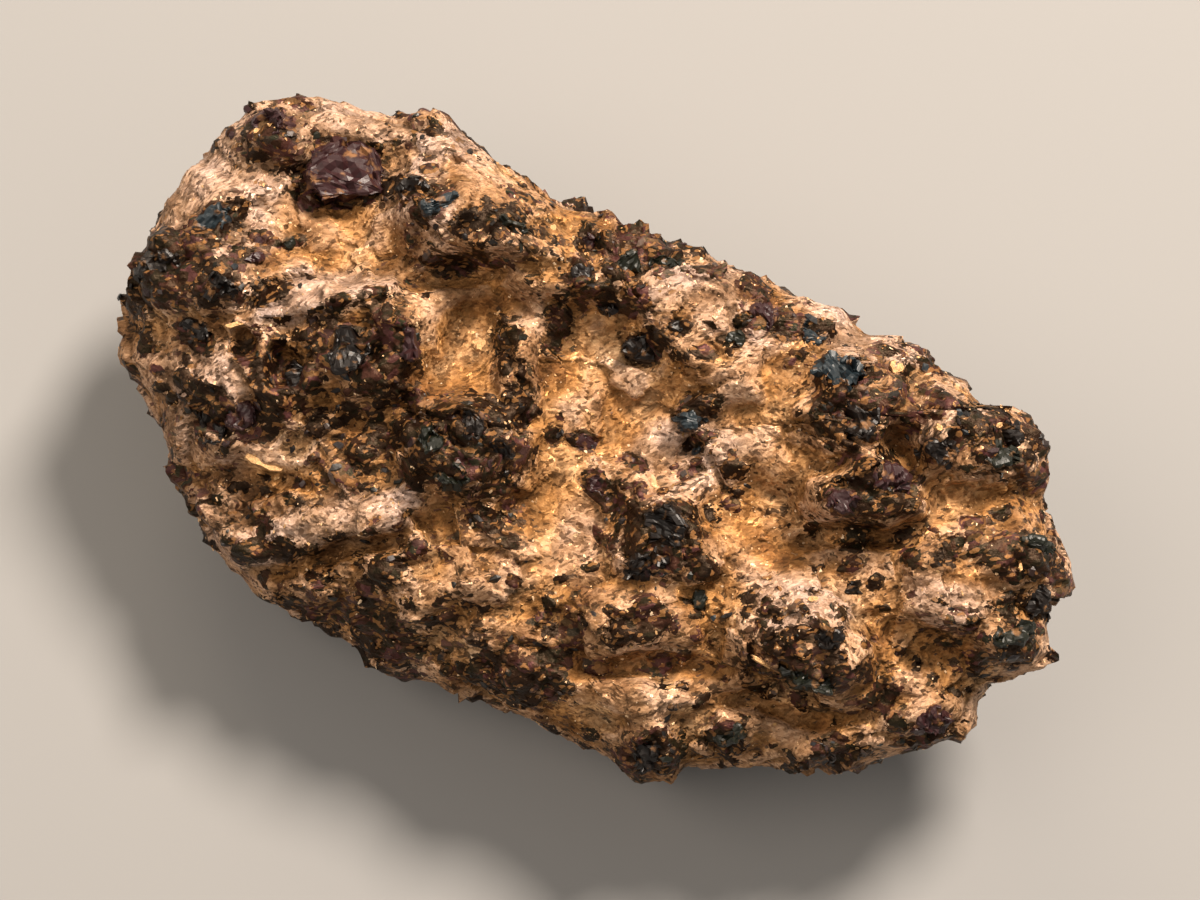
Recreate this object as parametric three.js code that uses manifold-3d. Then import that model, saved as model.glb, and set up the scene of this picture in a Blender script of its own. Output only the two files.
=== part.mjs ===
// A rough alexandrite specimen: dark chrysoberyl crystals grown together with a pale mica matrix, as one solid.
// Millimetres, +Z up. The stone is laid out as it is seen square on to its broad face: x runs to the right,
// y up and z towards the eye, from a point in the middle of the outline. It is then turned so that its length
// runs along X, leaned towards the eye, and set down on a flat spot that is trimmed under it.
import * as THREE from 'three';
import { ConvexGeometry } from 'three/addons/geometries/ConvexGeometry.js';
import { mergeVertices } from 'three/addons/utils/BufferGeometryUtils.js';
import Module from 'manifold-3d';

// Driving dimensions.
const TURN = THREE.MathUtils.degToRad(27); // from the outline's own axes to the length along X
const LEAN = THREE.MathUtils.degToRad(15); // how far the broad face leans towards the eye
const FACE_HEIGHT = 5.4; // the broad face above the middle plane
const UNDERSIDE_DEPTH = 6.9; // the underside below the middle plane
const REST_HEIGHT = 6.5; // the middle point above the surface that the stone rests on
const MIDDLE = new THREE.Vector2(0.43, -1.27); // the footprint's middle in the turned and leaned frame
const RIM_SLOPE = 0.12; // how fast the widest line rises across the stone
const SQUARENESS = 3.6; // of the upper half: 2 rounds the section like an egg, and more squares it
const UNDERSIDE_SQUARENESS = 2.5; // of the lower half, which bulges
const HALF_LENGTH = 20.7; // of the ellipse that spreads the mesh evenly
const HALF_WIDTH = 10.4;
const BLANK_DETAIL = 16; // subdivisions of the icosahedron that the blank is made from

// How the even forms are made irregular.
const WARP = { reach: 0.6, size: 2.4, finer: 0.35, finerScale: 2.7 }; // pushes the edges of each form about
const CRAGS = [
  { height: 0.55, size: 3.3 },
  { height: 0.38, size: 1.75 },
]; // flat-faced unevenness all over, where crystals and splinters of matrix end
const UNDERSIDE_SWELLS = { height: 1.3, size: 5.2 };

// Broken faces of the sides and the underside: [direction seen from above in the outline's own axes in
// degrees, how far the face looks down in degrees, share of the outline's reach that it passes at].
const BREAKS = [
  [-152, 20, 0.99], [-118, 30, 1.0], [-100, 46, 0.93], [-76, 24, 1.01], [-48, 34, 0.98], [-22, 20, 1.0],
  [8, 30, 0.97], [30, 18, 1.02], [52, 12, 1.01], [74, 4, 1.02], [96, 14, 1.01], [122, 8, 1.01],
  [150, 28, 0.97], [176, 24, 0.99], [-165, 54, 0.86], [-34, 56, 0.84], [24, 52, 0.93], [138, 50, 0.92],
];

// The outline seen square on to the broad face, clockwise from the top left corner: [x, y].
const OUTLINE = [
  [-14.0, 13.7], [-12.4, 13.7], [-11.3, 14.0], [-10.0, 13.6], [-9.3, 13.3], [-7.9, 13.1], [-7.0, 13.4],
  [-6.2, 13.0], [-4.6, 11.8], [-3.0, 10.6], [-1.3, 9.5], [0.7, 9.1], [1.8, 8.1], [4.6, 7.6],
  [6.3, 6.9], [6.9, 6.2], [8.9, 5.6], [10.0, 5.4], [10.9, 4.2], [12.2, 4.1], [13.1, 3.7],
  [13.9, 2.9], [15.0, 2.3], [15.8, 1.3], [16.8, 1.4], [17.5, 0.9], [18.2, -0.5], [18.6, -1.6],
  [18.4, -2.4], [19.0, -4.8], [19.2, -6.0], [19.0, -9.0], [18.5, -9.4], [16.2, -10.0], [15.6, -10.6],
  [15.5, -11.6], [14.8, -12.2], [12.2, -12.9], [9.8, -13.5], [8.7, -13.9], [7.2, -13.5], [3.8, -13.6],
  [3.1, -14.1], [2.0, -14.1], [0.0, -13.0], [-3.0, -11.5], [-5.4, -10.3], [-7.8, -9.3], [-9.1, -9.1],
  [-11.1, -7.7], [-13.8, -6.4], [-15.6, -4.3], [-16.5, -2.5], [-17.4, -0.5], [-18.3, 1.8], [-19.6, 3.4],
  [-19.2, 4.6], [-19.4, 6.2], [-18.8, 7.6], [-18.0, 8.9], [-17.7, 9.8], [-16.6, 11.2], [-15.9, 11.4],
  [-14.9, 12.7],
];

// The main forms of the broad face: [x, y, half length, half width, turn in degrees, height].
// A height below zero is a hollow, a groove or a pit.
const FORMS = [
  [-13.3, 12.4, 1.5, 1.3, 0, 1.1], // knob on the top left corner
  [-11.0, 12.6, 4.2, 1.1, 8, 0.5], // pale ledge along the top
  [-10.3, 10.8, 2.5, 1.9, -15, -1.5], // socket of the standing crystal
  [-16.8, 6.7, 2.8, 1.6, -10, 1.6], // dark lump at the left
  [-15.6, 8.6, 1.5, 0.8, 35, 0.7], // blue-black crest
  [-10.8, 8.2, 3.4, 1.5, -8, -0.9], // ochre hollow under the socket
  [-10.9, 5.8, 3.4, 0.6, 15, 0.6], // pale ridge
  [-9.3, 3.8, 2.5, 2.3, 40, 1.4], // big dark lump
  [-13.8, 2.2, 2.3, 2.4, 20, 0.9], // broken block at the left
  [-12.3, 3.1, 0.8, 0.9, 0, -1.3], // black pit in the block
  [-14.1, 3.9, 0.6, 0.6, 0, -1.0], // small pit beside it
  [-15.5, 0.7, 0.9, 1.2, 0, 0.8], // black knob under the block
  [-13.6, -1.4, 1.9, 0.5, -15, -0.8], // undercut below the golden plate
  [-10.3, -3.3, 3.6, 0.8, 17, 0.7], // cream ledge
  [-11.0, -4.6, 3.4, 0.5, 15, -0.7], // groove below the ledge
  [-4.2, 8.6, 2.9, 1.6, -8, 1.7], // mottled rib
  [-4.8, 6.9, 2.6, 0.5, 4, -0.8], // shadowed slot below the rib
  [-5.1, 4.2, 2.5, 1.6, 50, -0.9], // bright hollow
  [-3.3, 3.4, 0.7, 1.9, 12, 0.5], // dark wall right of the hollow
  [-5.2, -0.4, 2.3, 1.8, -25, 1.6], // charcoal mass
  [-1.8, 6.8, 2.4, 1.0, -15, 0.8], // grain-covered brow
  [0.4, 2.5, 2.6, 2.8, 0, -1.1], // central basin, upper part
  [2.6, 0.4, 3.0, 1.8, 10, -0.8], // central basin, right part
  [-1.4, -3.0, 2.0, 2.9, 0, -0.9], // central basin, lower part
  [1.7, 6.7, 1.6, 1.0, -40, 0.9], // dark hump on the top edge
  [4.6, 5.4, 2.3, 1.2, -25, 0.5], // pale shoulder
  [5.4, 3.2, 2.2, 1.2, -30, 0.6], // flake-covered rise
  [8.0, 2.6, 1.4, 0.8, -30, -0.5], // dip behind the wedge
  [10.2, 1.1, 1.7, 2.1, 20, 1.7], // dark wedge
  [12.5, 0.6, 0.9, 1.9, -8, -1.1], // tan gully right of the wedge
  [10.9, -2.1, 2.3, 1.2, 6, 1.5], // dark lump below the wedge
  [10.6, -3.9, 2.4, 0.6, 8, -0.9], // shadow gap under that lump
  [14.4, 0.3, 2.3, 1.5, -25, 1.3], // big lump at the right shoulder
  [17.0, -0.4, 1.5, 1.5, 0, 1.0], // rounded end lump
  [15.5, -2.1, 2.9, 0.7, 0, -0.6], // groove under the shoulder
  [14.2, -4.6, 2.0, 1.3, 10, 0.8], // speckled rise
  [17.4, -4.6, 1.4, 1.5, 0, 0.8], // dark end lump
  [14.4, -6.5, 1.9, 0.9, 5, 0.7], // pale rise
  [16.6, -7.9, 1.5, 0.9, 15, 0.6], // low lump near the corner
  [12.6, -8.2, 2.3, 0.8, -12, -0.7], // hollow beside the nose
  [6.6, -3.0, 2.6, 1.5, -30, -0.9], // tan slope
  [2.6, -4.2, 1.7, 1.6, -40, 1.0], // mound of the big round crystal
  [8.2, -8.1, 2.6, 1.9, -28, 1.9], // nose
  [8.2, -10.7, 2.7, 0.7, -8, -1.2], // shadow gap under the nose
  [1.8, -7.2, 2.7, 1.2, -3, 0.9], // speckled brow
  [1.8, -9.1, 3.5, 0.6, -2, -1.1], // long groove
  [1.2, -10.5, 2.8, 0.8, -6, 0.7], // cream swell under the groove
  [2.3, -12.7, 1.2, 1.1, 0, 1.2], // dark knob on the bottom edge
  [5.4, -11.8, 1.2, 0.8, 10, 0.9], // knob in the lower hollow
  [9.0, -12.8, 1.0, 0.8, 0, 0.8], // small knob on the bottom edge
  [13.4, -11.3, 1.7, 0.9, 15, 1.0], // lump at the bottom right
  [-3.8, -5.2, 2.7, 1.5, -10, 0.7], // speckled flank
  [-8.4, -5.9, 3.0, 1.0, -12, 0.6], // low flank lump
  [-3.0, -8.7, 2.3, 1.0, -20, 0.7], // lower flank lump
  [-15.2, -3.4, 1.2, 1.1, 0, 0.6], // red-brown corner
];

// The larger crystals on the broad face: [x, y, half length, half width, half height, turn in degrees].
const CRYSTALS = [
  [-10.1, 11.0, 2.3, 1.6, 1.9, -10], // standing crystal in its socket
  [-13.2, 12.9, 0.9, 0.7, 0.7, 40],
  [-15.5, 8.6, 1.3, 0.6, 0.7, 38],
  [-17.8, 7.1, 1.1, 0.8, 0.7, 10],
  [-14.8, 6.0, 1.0, 0.7, 0.8, -20],
  [-16.0, 4.4, 0.7, 0.5, 0.5, -30],
  [-7.2, 10.0, 0.8, 0.55, 0.6, -10],
  [-5.6, 9.4, 1.6, 0.4, 0.5, 14],
  [-3.2, 8.2, 0.8, 0.6, 0.6, -30],
  [-0.3, 7.9, 0.4, 0.55, 0.5, 0],
  [-0.5, 6.6, 0.5, 0.5, 0.5, 30],
  [0.3, 5.4, 0.7, 0.4, 0.5, -30],
  [1.2, 6.9, 0.8, 0.5, 0.5, 42],
  [2.7, 7.0, 0.9, 0.5, 0.5, -15],
  [2.0, 3.7, 1.0, 0.75, 0.8, -10],
  [3.4, 4.6, 0.6, 0.4, 0.45, 20],
  [6.7, 4.8, 0.8, 0.7, 0.75, 0],
  [5.6, 4.0, 0.5, 0.45, 0.45, 40],
  [8.7, 4.4, 1.1, 0.45, 0.5, -35],
  [9.8, 2.6, 1.0, 0.75, 0.8, -12],
  [10.4, 0.8, 1.2, 1.1, 0.9, 25],
  [4.2, 1.1, 1.1, 0.5, 0.6, 36],
  [-0.4, -0.1, 0.55, 0.5, 0.5, -20],
  [0.3, -1.9, 1.0, 0.5, 0.6, -36],
  [2.8, -3.5, 1.15, 1.0, 1.0, 0],
  [2.2, -4.9, 1.1, 0.7, 0.7, 15],
  [11.7, -1.5, 0.9, 0.65, 0.7, -10],
  [9.7, -2.4, 0.8, 0.5, 0.6, 0],
  [4.0, -6.4, 0.6, 0.4, 0.4, 30],
  [-7.5, 3.8, 0.6, 1.0, 0.8, 8],
  [-9.6, 3.6, 1.1, 0.9, 0.8, 30],
  [-11.8, 2.5, 0.8, 0.6, 0.6, -40],
  [-15.5, 0.5, 0.8, 1.0, 0.7, -15],
  [-14.1, 0.9, 0.9, 0.6, 0.6, -10],
  [-13.2, -0.9, 0.9, 0.4, 0.3, -24], // golden plate
  [-14.4, 4.6, 0.9, 0.35, 0.35, 16], // pale plate
  [-6.5, 0.0, 0.8, 0.7, 0.7, 0],
  [-4.9, 0.6, 0.8, 0.7, 0.7, 40],
  [-3.8, -0.4, 0.7, 0.8, 0.7, 10],
  [-5.6, -1.5, 0.8, 0.6, 0.6, -20],
  [2.3, -12.6, 1.0, 0.9, 0.8, 0],
  [5.3, -11.7, 0.7, 0.5, 0.5, 20],
  [9.1, -12.7, 0.7, 0.6, 0.5, 0],
  [14.0, -11.7, 1.1, 0.5, 0.6, 16],
  [8.6, -9.4, 1.3, 0.7, 0.8, -18],
  [9.2, -7.8, 0.8, 0.6, 0.7, 20],
  [10.6, -6.0, 0.8, 0.5, 0.5, 0],
  [17.8, -4.4, 0.9, 0.6, 0.6, 5],
  [18.2, -6.6, 0.6, 0.9, 0.6, 0],
  [16.6, -7.8, 1.0, 0.5, 0.5, 18],
  [16.2, -0.6, 0.8, 0.6, 0.6, 0],
  [17.5, 0.1, 0.7, 0.9, 0.6, -20],
  [13.8, -0.4, 0.9, 0.6, 0.6, -20],
];
const CRYSTAL_SIDES = 6; // chrysoberyl twins are pseudo-hexagonal
const CRYSTAL_TOP = { width: 0.76, height: 0.6, tilt: 0.45 }; // the end face's width and height, as shares, and its slope
const CRYSTAL_SINK = 0.5; // how far the middle of each crystal is set below the surface
const CRYSTAL_REACH = 0.93; // share of the outline's radius past which no crystal's middle lies
const SIDE_CRYSTALS = { count: 20, size: 1.4, seed: 500 }; // around the sides and the underside's edge

const GOLDEN_ANGLE = Math.PI * (3 - Math.sqrt(5));

// Presses what would lie below the surface that the stone rests on up to it.
function trimmedLevel(geometry) {
  const position = geometry.getAttribute('position');
  for (let n = 0; n < position.count; n++) position.setZ(n, Math.max(position.getZ(n), 0));
  return geometry;
}

// A fixed number from 0 to 1 for each point of a grid.
function gridValue(i, j, k) {
  const s = Math.sin(i * 127.1 + j * 311.7 + k * 74.7) * 43758.5453;
  return s - Math.floor(s);
}

// Smooth noise from -1 to 1, with bumps about one unit across.
function noise(x, y, z) {
  const [i, j, k] = [Math.floor(x), Math.floor(y), Math.floor(z)];
  const [u, v, w] = [x - i, y - j, z - k].map((t) => t * t * (3 - 2 * t));
  let sum = 0;
  for (let corner = 0; corner < 8; corner++) {
    const [a, b, c] = [corner & 1, (corner >> 1) & 1, corner >> 2];
    const weight = (a ? u : 1 - u) * (b ? v : 1 - v) * (c ? w : 1 - w);
    sum += weight * gridValue(i + a, j + b, k + c);
  }
  return 2 * sum - 1;
}

// Flat-faced relief from -1 to 1: each cell about one unit across has its own height and slope.
function crags(x, y, z) {
  const [i, j, k] = [Math.floor(x), Math.floor(y), Math.floor(z)];
  let nearest = Infinity;
  let value = 0;
  for (let n = 0; n < 27; n++) {
    const [a, b, c] = [i + (n % 3) - 1, j + (Math.floor(n / 3) % 3) - 1, k + Math.floor(n / 9) - 1];
    const offset = [x - a - gridValue(a, b, c), y - b - gridValue(b, c, a), z - c - gridValue(c, a, b)];
    const distance = Math.hypot(...offset);
    if (distance >= nearest) continue;
    nearest = distance;
    const slope = [gridValue(a + 9, b, c) - 0.5, gridValue(a, b + 9, c) - 0.5, gridValue(a, b, c + 9) - 0.5];
    value = gridValue(a + 5, b + 5, c + 5) - 0.5;
    value += 1.6 * (slope[0] * offset[0] + slope[1] * offset[1] + slope[2] * offset[2]);
  }
  return 1.2 * value;
}

// The outline's distance from the middle in a direction, where the ray meets the side it crosses.
function outlineRadius(angle) {
  const [c, s] = [Math.cos(angle), Math.sin(angle)];
  for (let n = 0; n < OUTLINE.length; n++) {
    const [x0, y0] = OUTLINE[n];
    const [x1, y1] = OUTLINE[(n + 1) % OUTLINE.length];
    const before = x0 * s - y0 * c;
    const after = x1 * s - y1 * c;
    if (before * after > 0 || before === after) continue;
    const t = before / (before - after);
    const reach = (x0 + t * (x1 - x0)) * c + (y0 + t * (y1 - y0)) * s;
    if (reach > 0) return reach;
  }
  throw new Error('the outline does not close round its middle');
}

// 1 inside an ellipse, 0 outside it and a smooth slope between, where the half sizes are at half height.
function mound(x, y, [cx, cy, halfLength, halfWidth, turnDegrees]) {
  const turn = THREE.MathUtils.degToRad(turnDegrees);
  const [dx, dy] = [x - cx, y - cy];
  const along = (dx * Math.cos(turn) + dy * Math.sin(turn)) / halfLength;
  const across = (dy * Math.cos(turn) - dx * Math.sin(turn)) / halfWidth;
  return 1 - THREE.MathUtils.smoothstep(Math.hypot(along, across), 0.5, 1.5);
}

// A shift of two scales, a broad one and a finer one on top of it.
function warp(x, y, layer) {
  const [across, along] = [x / WARP.size, y / WARP.size];
  const times = WARP.finerScale;
  return noise(across, along, layer) + WARP.finer * noise(across * times, along * times, layer * times);
}

// Height of the broad face above the middle plane.
function faceHeight(x, y) {
  const warpedX = x + WARP.reach * warp(x, y, 11.5);
  const warpedY = y + WARP.reach * warp(x, y, 37.5);
  let height = FACE_HEIGHT;
  for (const form of FORMS) height += form[5] * mound(warpedX, warpedY, form);
  return height;
}

// How far a point is across the stone, square to its length.
function acrossStone(x, y) {
  return x * Math.sin(TURN) + y * Math.cos(TURN);
}

// Height of the widest line, which rises towards the far side.
function rimHeight(x, y) {
  return RIM_SLOPE * acrossStone(x, y);
}

// Depth of the underside, which is level once the stone leans.
function undersideHeight(x, y) {
  const swell = noise(x / UNDERSIDE_SWELLS.size, y / UNDERSIDE_SWELLS.size, 60.5);
  return -UNDERSIDE_DEPTH - Math.tan(LEAN) * acrossStone(x, y) + UNDERSIDE_SWELLS.height * swell;
}

// Each broken face as the direction it looks in and its distance from the middle.
const breakPlanes = BREAKS.map(([aroundDegrees, downDegrees, share]) => {
  const around = THREE.MathUtils.degToRad(aroundDegrees) - TURN;
  const down = THREE.MathUtils.degToRad(downDegrees);
  const level = new THREE.Vector2(Math.cos(around), Math.sin(around));
  const reach = Math.max(...OUTLINE.map(([x, y]) => x * level.x + y * level.y));
  const lowered = Math.sin(down) * RIM_SLOPE * acrossStone(reach * level.x, reach * level.y);
  return {
    normal: new THREE.Vector3(level.x * Math.cos(down), level.y * Math.cos(down), -Math.sin(down)),
    distance: share * reach * Math.cos(down) - lowered,
  };
});

// The point of the stone's surface for a direction of the unit sphere.
function surfacePoint(direction) {
  const level = Math.hypot(direction.x, direction.y);
  const squareness = direction.z > 0 ? SQUARENESS : UNDERSIDE_SQUARENESS;
  const size = Math.pow(Math.pow(level, squareness) + Math.pow(Math.abs(direction.z), squareness), 1 / squareness);
  const outward = level / size;
  const upward = direction.z / size;
  const [along, across] = [direction.x * HALF_LENGTH, direction.y * HALF_WIDTH];
  const angle = Math.atan2(across, along) - TURN;
  const radius = outward * outlineRadius(angle);
  const [x, y] = [radius * Math.cos(angle), radius * Math.sin(angle)];
  const rim = rimHeight(x, y);
  const end = upward > 0 ? faceHeight(x, y) : undersideHeight(x, y);
  const point = new THREE.Vector3(x, y, rim + Math.abs(upward) * (end - rim));
  for (const { normal, distance } of breakPlanes) {
    const reach = normal.dot(point);
    if (reach > distance) point.multiplyScalar(distance / reach);
  }
  const steepness = Math.pow(outward, squareness - 1);
  const outwards = new THREE.Vector3(steepness * Math.cos(angle), steepness * Math.sin(angle), upward).normalize();
  let relief = 0;
  for (const crag of CRAGS) {
    relief += crag.height * crags(point.x / crag.size, point.y / crag.size, point.z / crag.size + 40);
  }
  return point.addScaledVector(outwards, relief);
}

// Turns the length along X, leans the face towards the eye and sets the stone down.
function placing() {
  return new THREE.Matrix4()
    .makeTranslation(-MIDDLE.x, -MIDDLE.y, REST_HEIGHT)
    .multiply(new THREE.Matrix4().makeRotationX(LEAN))
    .multiply(new THREE.Matrix4().makeRotationZ(TURN));
}

// The stone without its crystals: an icosahedron pushed out to the surface and trimmed level below.
function blankGeometry() {
  const geometry = new THREE.IcosahedronGeometry(1, BLANK_DETAIL);
  geometry.deleteAttribute('normal');
  geometry.deleteAttribute('uv');
  const merged = mergeVertices(geometry, 1e-5);
  const position = merged.getAttribute('position');
  const toRest = placing();
  const point = new THREE.Vector3();
  for (let n = 0; n < position.count; n++) {
    point.fromBufferAttribute(position, n).normalize();
    point.copy(surfacePoint(point)).applyMatrix4(toRest);
    position.setXYZ(n, point.x, point.y, point.z);
  }
  return trimmedLevel(merged);
}

// A rough six-sided crystal about the origin, wider at its root, whose end face slopes a little.
function crystalGeometry(halfLength, halfWidth, halfHeight, seed) {
  const corners = [];
  const slopeX = CRYSTAL_TOP.tilt * (2 * gridValue(seed, 7, 1) - 1);
  const slopeY = CRYSTAL_TOP.tilt * (2 * gridValue(seed, 7, 2) - 1);
  for (let n = 0; n < CRYSTAL_SIDES; n++) {
    const angle = ((n + 0.6 * gridValue(seed, n, 1)) / CRYSTAL_SIDES) * 2 * Math.PI;
    const size = 0.9 + 0.25 * gridValue(seed, n, 2);
    const [x, y] = [size * halfLength * Math.cos(angle), size * halfWidth * Math.sin(angle)];
    const top = CRYSTAL_TOP.width * (0.85 + 0.3 * gridValue(seed, n, 3));
    corners.push(new THREE.Vector3(x, y, -halfHeight));
    corners.push(new THREE.Vector3(top * x, top * y, CRYSTAL_TOP.height * halfHeight + slopeX * x + slopeY * y));
  }
  return new ConvexGeometry(corners);
}

// The crystals of the broad face, each set into the surface where it grew.
function faceCrystals() {
  const toRest = placing();
  return CRYSTALS.map(([x, y, halfLength, halfWidth, halfHeight, turnDegrees], seed) => {
    const geometry = crystalGeometry(halfLength, halfWidth, halfHeight + CRYSTAL_SINK, seed);
    const share = Math.hypot(x, y) / (CRYSTAL_REACH * outlineRadius(Math.atan2(y, x)));
    const [rootX, rootY] = [x / Math.max(1, share), y / Math.max(1, share)];
    geometry.rotateZ(THREE.MathUtils.degToRad(turnDegrees));
    geometry.translate(rootX, rootY, faceHeightInside(rootX, rootY) - CRYSTAL_SINK);
    return geometry.applyMatrix4(toRest);
  });
}

// Height of the finished surface at a point of the broad face, with the roll-off towards the outline.
function faceHeightInside(x, y) {
  const share = Math.min(1, Math.hypot(x, y) / outlineRadius(Math.atan2(y, x)));
  const upward = Math.pow(1 - Math.pow(share, SQUARENESS), 1 / SQUARENESS);
  const rim = rimHeight(x, y);
  const height = rim + upward * (faceHeight(x, y) - rim);
  let relief = 0;
  for (const crag of CRAGS) relief += crag.height * crags(x / crag.size, y / crag.size, height / crag.size + 40);
  return height + relief;
}

// More crystals round the sides, spread evenly by the golden angle.
function sideCrystals() {
  const toRest = placing();
  const made = [];
  for (let n = 0; n < SIDE_CRYSTALS.count; n++) {
    const seed = SIDE_CRYSTALS.seed + n;
    const angle = n * GOLDEN_ANGLE;
    const z = -0.4 + 0.55 * gridValue(seed, 3, 4);
    const level = Math.sqrt(1 - z * z);
    const direction = new THREE.Vector3(level * Math.cos(angle), level * Math.sin(angle), z);
    const size = SIDE_CRYSTALS.size * (0.7 + 0.6 * gridValue(seed, 5, 6));
    const geometry = crystalGeometry(size, 0.7 * size, 0.8 * size, seed);
    geometry.rotateY(Math.PI / 2);
    geometry.rotateZ(Math.atan2(direction.y * HALF_WIDTH, direction.x * HALF_LENGTH) - TURN);
    const point = surfacePoint(direction).multiplyScalar(0.95);
    geometry.translate(point.x, point.y, point.z);
    made.push(trimmedLevel(geometry.applyMatrix4(toRest)));
  }
  return made;
}

// A closed geometry as a solid for joining.
function solidOf(wasm, geometry) {
  const bare = geometry.clone();
  for (const name of Object.keys(bare.attributes)) if (name !== 'position') bare.deleteAttribute(name);
  const merged = mergeVertices(bare, 1e-4);
  return new wasm.Manifold(
    new wasm.Mesh({
      numProp: 3,
      vertProperties: Float32Array.from(merged.getAttribute('position').array),
      triVerts: Uint32Array.from(merged.index.array),
    }),
  );
}

// A solid as a geometry for drawing, with its faces left flat.
function geometryOf(solid) {
  const mesh = solid.getMesh();
  const geometry = new THREE.BufferGeometry();
  geometry.setAttribute('position', new THREE.BufferAttribute(Float32Array.from(mesh.vertProperties), 3));
  geometry.setIndex(new THREE.BufferAttribute(Uint32Array.from(mesh.triVerts), 1));
  return geometry;
}

const wasm = await Module();
wasm.setup();

let stoneSolid = solidOf(wasm, blankGeometry());
for (const crystal of [...faceCrystals(), ...sideCrystals()]) stoneSolid = stoneSolid.add(solidOf(wasm, crystal));

const stoneMaterial = new THREE.MeshStandardMaterial({ color: 0x8a7355, roughness: 0.75, metalness: 0 });
const stone = new THREE.Mesh(geometryOf(stoneSolid), stoneMaterial);
stone.name = 'alexandrite_stone';

const specimen = new THREE.Group();
specimen.name = 'alexandrite_specimen';
specimen.add(stone);

export default specimen;
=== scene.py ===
"""Dresses the rough alexandrite specimen: a pale mica matrix crowded with dark chrysoberyl crystals.

The stone is laid out in millimetres as it is seen square on to its broad face: x runs to the right, y up and
z towards the eye. It is then turned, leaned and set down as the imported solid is, from the same values.
"""

import logging
import math
from dataclasses import dataclass, field
from enum import Enum
from typing import Any, Iterator

import bmesh
import bpy
import numpy as np
from mathutils import Matrix, Vector


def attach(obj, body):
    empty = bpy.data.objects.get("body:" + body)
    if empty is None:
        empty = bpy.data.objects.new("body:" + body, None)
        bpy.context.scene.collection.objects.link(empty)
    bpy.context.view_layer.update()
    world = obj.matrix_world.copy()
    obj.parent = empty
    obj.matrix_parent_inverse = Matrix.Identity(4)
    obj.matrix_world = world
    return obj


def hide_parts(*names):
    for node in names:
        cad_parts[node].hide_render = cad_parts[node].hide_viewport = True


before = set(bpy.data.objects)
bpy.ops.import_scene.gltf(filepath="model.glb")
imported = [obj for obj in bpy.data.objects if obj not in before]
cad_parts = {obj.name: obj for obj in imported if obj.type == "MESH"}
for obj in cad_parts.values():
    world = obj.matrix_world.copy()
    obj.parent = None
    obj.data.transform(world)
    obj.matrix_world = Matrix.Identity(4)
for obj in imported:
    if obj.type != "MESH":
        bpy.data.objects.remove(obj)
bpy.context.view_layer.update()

log = logging.getLogger("alexandrite")
logging.basicConfig(level=logging.INFO, format="%(name)s: %(message)s")

MM = 0.001
NODE = "alexandrite_stone"

# The outline seen square on to the broad face, clockwise from the top left corner: x, y.
OUTLINE = (
    (-14.0, 13.7), (-12.4, 13.7), (-11.3, 14.0), (-10.0, 13.6), (-9.3, 13.3), (-7.9, 13.1), (-7.0, 13.4),
    (-6.2, 13.0), (-4.6, 11.8), (-3.0, 10.6), (-1.3, 9.5), (0.7, 9.1), (1.8, 8.1), (4.6, 7.6),
    (6.3, 6.9), (6.9, 6.2), (8.9, 5.6), (10.0, 5.4), (10.9, 4.2), (12.2, 4.1), (13.1, 3.7),
    (13.9, 2.9), (15.0, 2.3), (15.8, 1.3), (16.8, 1.4), (17.5, 0.9), (18.2, -0.5), (18.6, -1.6),
    (18.4, -2.4), (19.0, -4.8), (19.2, -6.0), (19.0, -9.0), (18.5, -9.4), (16.2, -10.0), (15.6, -10.6),
    (15.5, -11.6), (14.8, -12.2), (12.2, -12.9), (9.8, -13.5), (8.7, -13.9), (7.2, -13.5), (3.8, -13.6),
    (3.1, -14.1), (2.0, -14.1), (0.0, -13.0), (-3.0, -11.5), (-5.4, -10.3), (-7.8, -9.3), (-9.1, -9.1),
    (-11.1, -7.7), (-13.8, -6.4), (-15.6, -4.3), (-16.5, -2.5), (-17.4, -0.5), (-18.3, 1.8), (-19.6, 3.4),
    (-19.2, 4.6), (-19.4, 6.2), (-18.8, 7.6), (-18.0, 8.9), (-17.7, 9.8), (-16.6, 11.2), (-15.9, 11.4),
    (-14.9, 12.7),
)

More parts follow.
